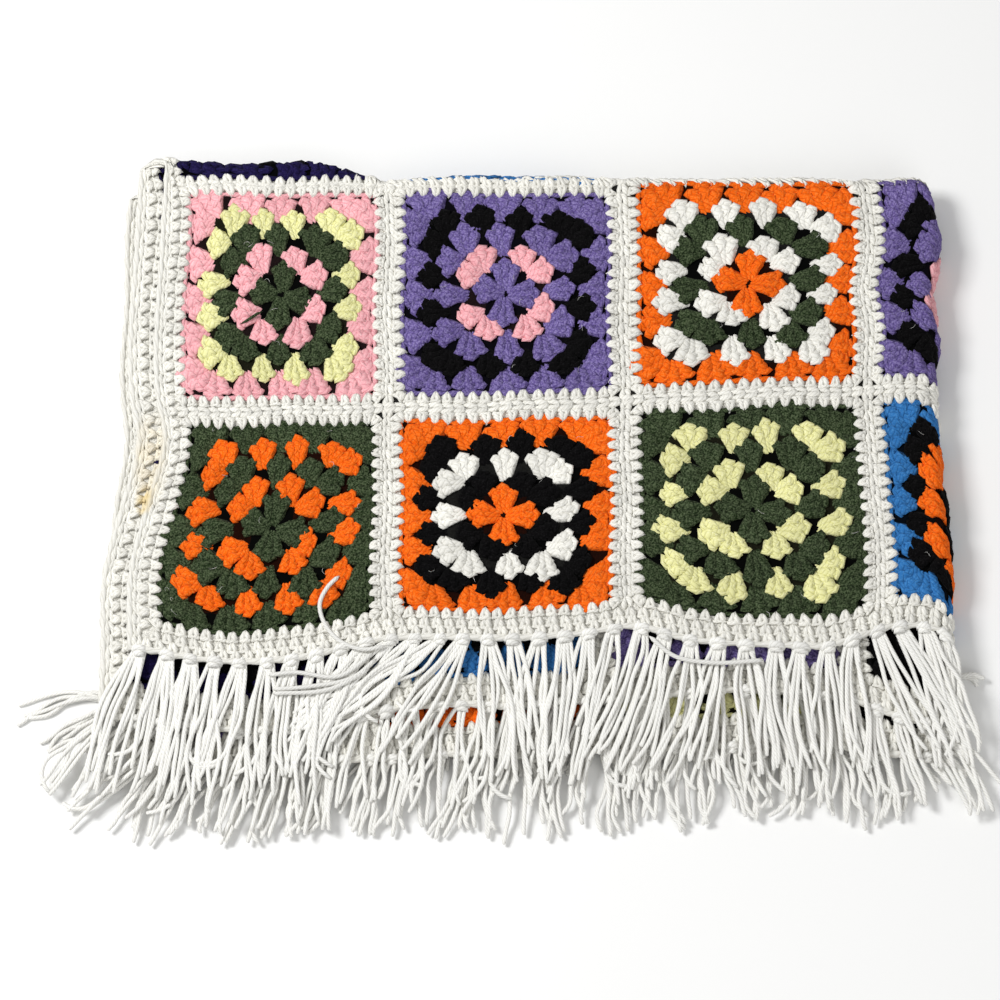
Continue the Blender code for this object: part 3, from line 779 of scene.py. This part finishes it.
def square_clusters(column, row, rng):
    """The clusters of one square, with their yarns."""
    left, near, height = square_box(column, row)
    half_u, half_v = SQUARE_WIDTH / 2, height / 2
    for number, letter in enumerate(CHART[row][column], start=1):
        width = ROUND_SHAPES[number - 1][2]
        for s, t, heading, length, wider in cluster_places(number):
            u = left + half_u * (1 + s) + rng.normal(0, PLACE_SPREAD)
            v = near + half_v * (1 + t) + rng.normal(0, PLACE_SPREAD)
            reach = half_u * abs(math.sin(heading)) + half_v * abs(math.cos(heading))
            long = length * reach / CLUSTER_LENGTH * rng.uniform(*LENGTH_SPREAD)
            for shown in faces_shown(u, v):
                depth = DEPTHS[shown] * (LAST_DEPTH if number == ROUNDS else 1.0)
                yield YARN_OF[letter], (u, v, 0.0, heading + rng.normal(0, TURN_SPREAD),
                                        0.0 if shown > 0 else math.pi,
                                        width * wider * rng.uniform(*WIDTH_SPREAD), long, depth)


def stitch_object(name, *paths):
    """A stitch to be repeated, from its paths in millimetres; only its copies show."""
    made = grow(name, path_mesh(name, [np.array(path) * MM for path in paths]), along_paths)
    bpy.context.scene.collection.objects.unlink(made)
    return made


def fanned(path, lean, shift, size):
    """A stitch's path, leaning this many degrees to the right from its shifted foot."""
    turn = math.radians(lean)
    return [(shift + (x * math.cos(turn) + y * math.sin(turn)) * size,
             (y * math.cos(turn) - x * math.sin(turn)) * size, z, radius)
            for x, y, z, radius in path]


def place_stitches(name, stitch, rows, yarn_name, seed, slot="crochet_yarn", **spreads):
    """Set copies of a stitch on the flat blanket and fold them with it."""
    return carry(grow(name, places_mesh(name, rows), in_place, stitch=stitch, seed=seed,
                      yarn=YARNS[yarn_name], **spreads))


def corners_of(left, near, right, far):
    """A round's corners. Its first side is the left one, its second the near one."""
    return [(left, far), (left, near), (right, near), (right, far), (left, far)]


cluster = stitch_object("cluster", *[fanned(path, *way) for way in FAN
                                     for path in (POST, WRAP, CAP)])
rng = np.random.default_rng(4)
by_yarn = {}
for square in SQUARES:
    for name, place in square_clusters(*square, rng):
        by_yarn.setdefault(name, []).append(place)
squares = [place_stitches(f"{name}_clusters", cluster, places, name, seed)
           for seed, (name, places) in enumerate(sorted(by_yarn.items()))]

# The tops of the last round's stitches make a line of yarn along the coloured edge.
EDGE_STRAND_IN = 0.0016
EDGE_STRAND_STEP = 0.0036
EDGE_STRAND_RADIUS = 0.0017
EDGE_STRAND_SPREAD = (0.80, 1.15)
EDGE_STRAND_LIFT = 0.0011


def walk(start, end, step):
    """Places along a side about a step apart, both its ends among them."""
    count = round(math.dist(start, end) / step)
    return [start + (end - start) * k / count for k in range(count + 1)]


def closed(rows):
    """A path whose yarn narrows to nothing at both ends."""
    rows = np.array(rows)
    rows[[0, -1], 3] = 0.0
    return rows


def edge_strands(column, row, rng):
    """The line round one square's coloured edge, as the stretches of it that can be seen."""
    left, near, height = square_box(column, row)
    corners = np.array(corners_of(
        left + EDGE_STRAND_IN, near + EDGE_STRAND_IN,
        left + SQUARE_WIDTH - EDGE_STRAND_IN, near + height - EDGE_STRAND_IN))
    for start, end in zip(corners, corners[1:]):
        for way in (1, -1):
            stretch = [(u, v, way * EDGE_STRAND_LIFT,
                        EDGE_STRAND_RADIUS * rng.uniform(*EDGE_STRAND_SPREAD))
                       for u, v in walk(start, end, EDGE_STRAND_STEP)
                       if way in faces_shown(u, v)]
            if len(stretch) > 2:
                yield closed(stretch)


edges_of = {}
for column, row in SQUARES:
    last = YARN_OF[CHART[row][column][-1]]
    edges_of.setdefault(last, []).extend(edge_strands(column, row, rng))
for name, paths in sorted(edges_of.items()):
    squares.append(carry(strands_of_yarn(f"{name}_edge_lines", paths, name)))

# ---- White rounds round the squares ----
# Every square is edged with a round of short white stitches. Each is a V of yarn whose foot
# reaches over the coloured edge.
SHORT_PITCH = 0.0080
FOOT_LIFT = 0.0006
FOOT_OVER = 0.0020                  # how far the feet reach over the coloured round
CORNER_STITCH = (1.1, 0.9, 1.0)
SHORT_STITCH = (
    (-1.3, 6.9, -0.6, 0.0), (-1.6, 5.6, 0.9, 1.50), (-1.5, 3.6, 1.9, 1.80),
    (-0.9, 1.4, 2.0, 1.55), (-0.2, -1.0, 0.3, 0.95), (0.8, 0.9, 1.7, 1.45),
    (1.5, 3.0, 1.9, 1.75), (2.2, 5.3, 1.0, 1.50), (2.6, 6.9, -0.6, 0.0),
)


def mirrored(half):
    """A stitch's path, from its first half and its middle row."""
    return (*half, *[(-x, y, z, radius) for x, y, z, radius in half[-2::-1]])


TOP_LOOP = mirrored(((-4.6, 5.2, 0.2, 0.0), (-3.0, 5.9, 1.0, 1.45), (0.3, 5.5, 1.1, 1.55)))


def stitch_row(start, end, heading, pitch=SHORT_PITCH, size=(1.0, 1.0, 1.0), lift=0.0):
    """A row of stitches from one place to another, on the right side of the blanket."""
    count = round(math.dist(start, end) / pitch)
    for k in range(count):
        part = (k + 0.5) / count
        u = start[0] + (end[0] - start[0]) * part
        v = start[1] + (end[1] - start[1]) * part
        yield (u, v, lift, heading, 0.0, *size)


def edging(column, row):
    """The white round of one square, with a stitch more at each corner."""
    left, near, height = square_box(column, row)
    width, height = SQUARE_WIDTH - 2 * FOOT_OVER, height - 2 * FOOT_OVER
    left, near = left + FOOT_OVER, near + FOOT_OVER
    corners = corners_of(left, near, left + width, near + height)
    for side, (start, end) in enumerate(zip(corners, corners[1:])):
        heading = math.pi / 2 * (side + 1)
        yield from stitch_row(start, end, heading, lift=FOOT_LIFT)
        yield (*end, FOOT_LIFT, heading + math.pi / 4, 0.0, *CORNER_STITCH)


def seen(rows):
    """The stitches that can be seen, each on the face that shows."""
    kept = []
    for u, v, w, heading, face, *size in rows:
        for shown in faces_shown(u, v):
            turned = face if shown > 0 else math.pi - face
            kept.append((u, v, w * shown, heading, turned, *size))
    return kept


short_stitch = stitch_object("short_stitch", SHORT_STITCH, TOP_LOOP)
places = [place for square in SQUARES for place in seen(edging(*square))]
white_rounds = place_stitches("square_edgings", short_stitch, places, "white", 21)

# ---- Seams ----
# The squares are crocheted together with a chain of slip stitches, which stands between their
# white rounds as a low ridge.
CHAIN_PITCH = 0.0074
CHAIN_LINK = mirrored(((1.2, -1.6, -0.6, 0.0), (1.7, 1.0, 0.9, 1.45), (1.6, 4.3, 1.7, 1.75),
                       (0.9, 7.4, 1.5, 1.60), (0.0, 9.0, 0.5, 1.30)))
SEAM_LINK = (1.20, 1.0, 0.85)
LENGTHWISE_LIFT = 0.0002
CROSSWISE_LIFT = 0.0004


def chain(start, end, lift, size):
    """A chain of links, each growing out of the last one, on the face that shows."""
    heading = math.atan2(start[0] - end[0], end[1] - start[1])
    return seen(stitch_row(start, end, heading, CHAIN_PITCH, size, lift))


def seam_v(column, row):
    """Where the seam past a square runs, between it and the next one."""
    _, near, height = square_box(column, row)
    return (near + height + square_box(column, row + 1)[1]) / 2


seam_u = [square_box(column, 0)[0] - SEAM / 2 for column in range(1, COLUMNS)]
places = []
for u in seam_u:
    places += chain((u, BORDER / 2), (u, LENGTH - BORDER / 2), LENGTHWISE_LIFT, SEAM_LINK)
for row in range(len(ROW_HEIGHTS) - 1):
    v = [seam_v(column, row) for column in range(COLUMNS)]
    bends = [(BORDER / 2, v[0]), *[(u, (v[k] + v[k + 1]) / 2) for k, u in enumerate(seam_u)],
             (WIDTH - BORDER / 2, v[-1])]
    for start, end in zip(bends, bends[1:]):
        places += chain(start, end, CROSSWISE_LIFT, SEAM_LINK)
chain_link = stitch_object("chain_link", CHAIN_LINK)
seams = place_stitches("seam_chains", chain_link, places, "white", 31)

# ---- Border ----
# Round the whole blanket run two more rows of short stitches, the second one smoother and flatter
# up the sides, and a tight slip stitch closes the edge as a narrow ridge.
ROW_STEP = 0.0052
FLAT_ROW_IN = 0.0058
FLAT_LINK = (0.96, 1.0, 0.90)
BORDER_LIFT = 0.0004
RIDGE_IN = 0.0017
RIDGE_RADIUS = 0.0021
RIDGE_LIFT = 0.0013                 # towards the face that shows
RIDGE_STEP = 0.0025
RIDGE_SAG = 0.0011                  # on the fringed edges, where it hangs between the knots
RIDGE_SWELL = 0.06                  # it is thicker at each stitch, as a part of its radius
RIDGE_EASE = 5                      # steps in which it changes faces
TASSEL_PITCH = 0.0156
KNOT_COUNT = round(WIDTH / TASSEL_PITCH)


def frame_corners(inset):
    """The corners of a round this far in from the edge."""
    return corners_of(inset, inset, WIDTH - inset, LENGTH - inset)


def frame_row(inset, sides=(0, 1, 2, 3)):
    """A row of short stitches round the blanket, this far in from its edge."""
    corners = frame_corners(inset)
    for side in sides:
        yield from stitch_row(corners[side], corners[side + 1], math.pi / 2 * (side + 1),
                              lift=BORDER_LIFT)


def ridge():
    """The closing slip stitches, as one thick strand round the edge."""
    corners = np.array(frame_corners(RIDGE_IN))
    points = []
    for side, (start, end) in enumerate(zip(corners, corners[1:])):
        for u, v in walk(start, end, RIDGE_STEP)[:-1]:
            sag = RIDGE_SAG * abs(math.cos(math.pi * u * KNOT_COUNT / WIDTH))
            points.append((u, v + (0, -sag, 0, sag)[side]))
    lifts = [(0, *faces_shown(u, v))[-1] * RIDGE_LIFT for u, v in points]
    lifts = np.convolve(lifts, np.ones(RIDGE_EASE) / RIDGE_EASE, "same")
    along = np.arange(len(points)) * RIDGE_STEP
    radius = RIDGE_RADIUS * (1.0 + RIDGE_SWELL * ripple(along, CHAIN_PITCH))
    path = closed(np.column_stack([np.array(points), lifts, radius]))
    return carry(strands_of_yarn("edge_ridge", [path], "white", sides=6,
                                 twist_length=4 * TWIST_LENGTH))


places = seen([*frame_row(BORDER - ROW_STEP), *frame_row(BORDER - 2 * ROW_STEP, (1, 3))])
border = place_stitches("border_rows", short_stitch, places, "white", 41)
corners = frame_corners(FLAT_ROW_IN)
places = [place for side in (0, 2)
          for place in chain(corners[side], corners[side + 1], BORDER_LIFT, FLAT_LINK)]
flat_row = place_stitches("border_flat_rows", chain_link, places, "white", 42, turn_spread=0.04)
edge_ridge = ridge()

# ---- Fringe ----
# Lengths of white yarn, folded double and pulled through the edge with a lark's head knot, so
# that four to six strands hang from each knot.
STRAND_RADIUS = 0.0015
STRAND_POINTS = 17
# The knot: a bar across the strands and two prongs over the edge, as rows of x, y, z and radius
# in millimetres, y pointing out from the cloth.
KNOT_BARS = (
    mirrored(((-4.7, 2.4, -0.8, 0.0), (-4.2, 0.8, 1.2, 1.8), (-2.4, -0.4, 3.0, 2.2),
              (0.0, -0.7, 3.5, 2.3))),
    mirrored(((-3.8, 4.2, -0.6, 0.0), (-2.7, 2.9, 1.8, 1.7), (0.0, 2.6, 2.6, 1.9))),
)
KNOT_PRONGS = [((side * 1.9, -5.4, -0.4, 0.0), (side * 1.9, -4.0, 1.4, 1.3),
                (side * 1.8, -1.8, 2.6, 1.6), (side * 1.6, 0.6, 2.2, 1.3),
                (side * 1.5, 2.0, 0.6, 0.0)) for side in (-1, 1)]
# How the strands lean where they leave the knot and at their tips, in degrees from straight
# out, by the distance from the left: on the top layer first, then on the others from the floor.
TOP_LEANS = (
    (-0.010, -24, -12), (0.010, -16, -8), (0.069, -8, -6), (0.107, -10, -8), (0.123, -14, -20),
    (0.156, -34, -50), (0.171, -40, -54), (0.203, -38, -40), (0.213, -8, -6), (0.253, -6, 0),
    (0.284, -6, -14), (0.302, -6, -26), (0.318, -14, -24), (0.349, -10, -20), (0.384, 2, 8),
    (0.421, 0, 14), (0.455, 4, 22), (0.472, 24, 30), (0.484, 28, 24), (0.499, 10, 8),
    (0.515, 2, 4),
)
LOWER_LEANS = (
    (-0.030, -84, -52, -50), (0.010, -66, -42, -40), (0.050, -38, -28, -26),
    (0.110, -16, -18, -12), (0.200, -8, -14, -6), (0.300, -2, -6, -4), (0.400, 6, 4, 6),
    (0.460, 14, 12, 14), (0.488, 56, 30, 26), (0.515, 96, 50, 40),
)
ROOT_SPREAD = 0.0078                # of a knot's strands, side by side
ROOT_IN = 0.0006                    # their ends lie this far inside the knot
EDGE_OUT = 0.001                    # and the knot's own middle this far outside the edge
STRAND_LENGTHS = (0.060, 0.052, 0.067, 0.088)   # by layer, from the floor up
LOWER_BENDS = (1.15, 0.85)          # these lean more at the knot and less at the tip
LEFT_LONGER = 0.45                  # the strands at the left corner lie stretched out,
LEFT_CORNER = (-0.03, 0.03)
RIGHT_SHORTER = 0.60                # and those at the right corner are shorter
RIGHT_CORNER = (0.46, 0.50)
TURN_OVER = (0.3, 0.8)              # of the side fold, where strands begin to lie the lower way
LEFT_DENSE = 0.21                   # up to here the top layer's knots hold one strand more
CORNER_DENSE = 0.04                 # and up to here four
TOP_STRANDS = (5, 7)                # of a knot, before those; the second number isn't reached
LOWER_STRANDS = (3, 6)
LEAN_SPREADS = (17, 15, 12, 6)      # degrees, by layer
TOGETHER = 0.7                      # the part of it by which a knot's strands lean as one,
APART = (0.3, 0.5)                  # and by which each leans by itself, at its knot and tip
FAN_OUT = (22, -6)                  # degrees from the first strand of a knot to its last
KNOT_SPREAD = 0.0006
KNOT_SIZES = ((0.9, 1.08), (0.92, 1.08))
LENGTH_SPREADS = ((0.88, 1.06), (0.80, 1.06))   # of a knot, and of each strand
STRAND_LIFTS = (-0.0004, 0.0022)
# Each strand's tone differs at random between these; as painted light, the fringe on a higher
# layer is brighter, up to this part more on the top one, so the lower fringe looks shaded.
TONES = (0.4, 0.7)
TOP_PAINTED_LIGHT = 0.4
TOP_LAYER = 3
# A strand turns from its lean at the knot to that at its tip, sways in two waves, each with its
# half turns and size, and curls at its tip, a few far more than others. All in degrees.
LEAN_TURN = (0.1, 0.9)
SWAY_DEGREES = (3.5, 0.4)           # for any strand, and for each degree of its layer's spread
SWAYS = ((2.3, 1.0), (5.1, 0.6))
CURLS = (10, 60)
CURL_CHANCE = 0.014                 # of a strong curl, for each degree of spread
CURL_FROM = 0.55
TIP = (0.95, 0.8)                   # from this part of its length on, it is this thin
LANDED = 1.15                       # it comes down this much before its tip
CAP_STEP = 0.15                     # its closed ends, as a part of a step


def between(low, high, part):
    """The value this part of the way from one to the other."""
    return low + (high - low) * part


def strand_path(root, height, leans, length, lift, spread, rng):
    """One strand, from its knot out and down to what it lies on."""
    x, y = root
    step = length / (STRAND_POINTS - 1)
    swings = rng.normal(0, SWAY_DEGREES[0] + SWAY_DEGREES[1] * spread, 2)
    curl = rng.normal(0, CURLS[rng.random() < CURL_CHANCE * spread])
    phases = rng.uniform(0, 2 * np.pi, 2)
    rows = []
    for k in range(STRAND_POINTS):
        part = k / (STRAND_POINTS - 1)
        level = float(settle(height, x, y)) + lift * math.sin(math.pi * min(1.0, part * LANDED))
        thick = STRAND_RADIUS * (1.0 if part < TIP[0] else TIP[1])
        rows.append((x - ORIGIN[0], y - ORIGIN[1], max(level, STRAND_RADIUS), thick))
        lean = between(*leans, smooth(part, *LEAN_TURN))
        for swing, phase, (half_turns, size) in zip(swings, phases, SWAYS):
            lean += swing * size * math.sin(half_turns * math.pi * part + phase)
        angle = math.radians(lean + curl * smooth(part, CURL_FROM, 1.0))
        x += math.sin(angle) * step
        y -= math.cos(angle) * step
    rows = np.array(rows)
    before = rows[0] - (rows[1] - rows[0]) * CAP_STEP
    after = rows[-1] + (rows[-1] - rows[-2]) * CAP_STEP
    before[3] = after[3] = 0.0
    return np.array([before, *rows, after])


def leans_on(layer, x):
    """How the strands on a layer lean, at their knots and tips."""
    if layer == TOP_LAYER:
        return [line_value(TOP_LEANS, x, column) for column in (1, 2)]
    return [line_value(LOWER_LEANS, x, layer + 1) * bend for bend in LOWER_BENDS]


def tassels(name, edge_v, lower, upper, seed):
    """The knots and strands of one fringed edge, on the layers of its lower and upper half."""
    rng = np.random.default_rng(seed)
    out = -1 if edge_v == 0.0 else 1
    knot_places, paths, tones_and_painted_light = [], [], []
    for k in range(KNOT_COUNT):
        u = WIDTH * (k + 0.5) / KNOT_COUNT + rng.normal(0, KNOT_SPREAD)
        sizes = [rng.uniform(*size) for size in KNOT_SIZES]
        knot_places += seen([(u, edge_v, 0.0, math.pi if out < 0 else 0.0, 0.0, *sizes, 1.0)])
        place, _, height, turn = lay(np.array([u]), np.array([edge_v + out * EDGE_OUT]))
        x, y, turn = place[0][0], place[0][1], float(turn[0])
        under = float(smooth(turn, *TURN_OVER))
        leans = [between(*pair, under) for pair in zip(leans_on(upper, x), leans_on(lower, x))]
        spread = between(LEAN_SPREADS[upper], LEAN_SPREADS[lower], turn)
        length = between(STRAND_LENGTHS[upper], STRAND_LENGTHS[lower], turn)
        if turn > 0.5:
            length *= 1.0 + LEFT_LONGER * float(1.0 - smooth(x, *LEFT_CORNER))
            length *= 1.0 - RIGHT_SHORTER * float(smooth(x, *RIGHT_CORNER))
        on_top = upper == TOP_LAYER and turn < 0.5
        strands = int(rng.integers(*(TOP_STRANDS if on_top else LOWER_STRANDS)))
        strands += (x < LEFT_DENSE) + 3 * (x < CORNER_DENSE) if on_top else 0
        together = rng.normal(0, spread * TOGETHER, 2)
        length *= rng.uniform(*LENGTH_SPREADS[0])
        for j in range(strands):
            offset = (j + 0.5) / strands - 0.5
            own = [leans[end] + together[end] + offset * FAN_OUT[end]
                   + rng.normal(0, spread * APART[end]) for end in (0, 1)]
            paths.append(strand_path((x + offset * ROOT_SPREAD, y + ROOT_IN), height[0], own,
                                     length * rng.uniform(*LENGTH_SPREADS[1]),
                                     rng.uniform(*STRAND_LIFTS), spread, rng))
            # painted light: strands on the higher layers are brighter
            tones_and_painted_light.append((1 + TOP_PAINTED_LIGHT * (upper - 1) / 2) * rng.uniform(*TONES))
    knots = place_stitches(name + "_knots", knot, knot_places, "fringe", seed, "fringe_yarn")
    strands = strands_of_yarn(name, paths, "fringe", np.array(tones_and_painted_light))
    return ride(strands), knots


knot = stitch_object("knot", *KNOT_BARS, *KNOT_PRONGS)
near_strands, near_knots = tassels("near_tassels", 0.0, 0, TOP_LAYER, 51)
far_strands, far_knots = tassels("far_tassels", LENGTH, 1, 2, 52)
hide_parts("near_fringe")
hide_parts("far_fringe")

# ---- Stray ends ----
# A few ends of yarn were never darned in, some long strands of the fringe lie across the others,
# and pale fluff clings to the dark squares.
STRAY_RADIUS = 0.0014
GREEN_RADIUS = 0.001
STRAY_LIFT = 0.0040                 # over the middle of the top layer
STRAY_STEP = 0.0035
# Rows of x and y over the pile, from the left end of the near edge.
STRAY_ENDS = (
    ((0.1272, 0.0421), (0.1189, 0.0333), (0.1145, 0.0232), (0.1177, 0.0096), (0.1285, -0.0026),
     (0.1425, -0.0073), (0.1565, -0.0046)),
    ((0.1488, -0.0087), (0.1278, -0.0242), (0.0973, -0.0222), (0.0827, -0.0242)),
    ((0.1507, -0.0127), (0.1374, -0.0242), (0.1094, -0.0310), (0.0852, -0.0330)),
    ((0.1463, -0.0195), (0.1221, -0.0324), (0.0852, -0.0357)),
    ((0.3205, 0.0022), (0.3371, -0.0114), (0.3574, -0.0154), (0.3930, -0.0141)),
)
GREEN_END = ((0.0604, 0.2120), (0.0650, 0.2142), (0.0712, 0.2188), (0.0763, 0.2215))
FLUFF_COUNT = 46
FLUFF_RADIUS = 0.00012
FLUFF_ON = ("black", "green", "purple")
FLUFF_POINTS = 6
FLUFF_STEP = 0.0012
FLUFF_HEIGHT = 0.0042
FLUFF_RISE = 0.0006
FLUFF_BENDS = (0.35, 0.3)           # radians a step, of the whole hair and of the step alone


def stray_path(rows, radius):
    """A loose end of yarn that lies on the top layer, along a smooth line through the rows."""
    rows = np.array(rows)
    gaps = np.linalg.norm(np.diff(rows, axis=0), axis=1)
    along = np.concatenate([[0.0], np.cumsum(gaps)])
    at = np.linspace(0.0, along[-1], max(5, round(along[-1] / STRAY_STEP)))
    x = line_value(np.column_stack([along, rows[:, 0]]), at)
    y = line_value(np.column_stack([along, rows[:, 1]]), at)
    z = pile_height(LAYER_HEIGHTS[3], x, y) + STRAY_LIFT
    z[[0, -1]] -= radius / 2
    return closed(np.column_stack([x - ORIGIN[0], y - ORIGIN[1], z, np.full(len(at), radius)]))


def fluff(rng):
    """One bent hair on a dark place of the near squares, on the flat blanket."""
    while True:
        u, v = rng.uniform(BORDER, FOLD_U), rng.uniform(BORDER, FOLD_V - BORDER)
        if yarn_at(u, v) in FLUFF_ON:
            break
    heading = rng.uniform(0, 2 * math.pi)
    bend = rng.normal(0, FLUFF_BENDS[0])
    rows = []
    for k in range(FLUFF_POINTS):
        rows.append((u, v, FLUFF_HEIGHT + FLUFF_RISE * math.sin(k), FLUFF_RADIUS))
        heading += bend + rng.normal(0, FLUFF_BENDS[1])
        u += FLUFF_STEP * math.cos(heading)
        v += FLUFF_STEP * math.sin(heading)
    return closed(rows)


ride(strands_of_yarn("stray_ends", [stray_path(rows, STRAY_RADIUS) for rows in STRAY_ENDS],
                     "fringe", sides=6))
ride(strands_of_yarn("green_stray_end", [stray_path(GREEN_END, GREEN_RADIUS)], "green",
                     sides=6, twist_length=TWIST_LENGTH / 2))
carry(strands_of_yarn("fluff", [fluff(rng) for _ in range(FLUFF_COUNT)], "fringe", sides=3))

# ---- Floor, light and camera ----
# A plain pale floor, a soft key light over the near left and an even pale sky.
CAMERA_TARGET = (-0.0015, 0.0003, 0.012)
CAMERA_DISTANCE = 3.0
CAMERA_ELEVATION = 70
VIEW_WIDTH = 0.636                  # what the camera sees across, at the target
FLOOR_SIZE = 6.0
SKY = 0.44

bpy.ops.mesh.primitive_plane_add(size=FLOOR_SIZE)
floor = bpy.context.object
floor.name = "floor"
pale, tree, shader = new_material("painted_board")
fill(tree, shader, {"Base Color": linear("F4F4F3"), "Roughness": 0.9})
floor.data.materials.append(pale)


def area_light(name, place, size, power):
    """A soft light aimed at the blanket."""
    light = bpy.data.objects.new(name, bpy.data.lights.new(name, "AREA"))
    light.data.shape = "SQUARE"
    light.data.size = size
    light.data.energy = power
    light.location = place
    direction = np.array(place)
    light.rotation_euler = (math.acos(direction[2] / np.linalg.norm(direction)), 0.0,
                            math.atan2(direction[0], -direction[1]))
    bpy.context.scene.collection.objects.link(light)


area_light("key_light", (-1.3, 0.3, 1.7), 0.7, 36)
area_light("fill_light", (1.0, -1.6, 1.5), 1.6, 12)
world = bpy.data.worlds.new("studio")
world.use_nodes = True
fill(world.node_tree, world.node_tree.nodes["Background"],
     {"Color": linear("FFFFFF"), "Strength": SKY})
bpy.context.scene.world = world

bpy.context.scene.view_settings.view_transform = "Standard"

camera = bpy.data.objects.new("camera", bpy.data.cameras.new("camera"))
angle = math.radians(CAMERA_ELEVATION)
camera.location = (CAMERA_TARGET[0],
                   CAMERA_TARGET[1] - CAMERA_DISTANCE * math.cos(angle),
                   CAMERA_TARGET[2] + CAMERA_DISTANCE * math.sin(angle))
camera.rotation_euler = (math.pi / 2 - angle, 0.0, 0.0)
camera.data.lens = camera.data.sensor_width * CAMERA_DISTANCE / VIEW_WIDTH
bpy.context.scene.collection.objects.link(camera)
bpy.context.scene.camera = camera
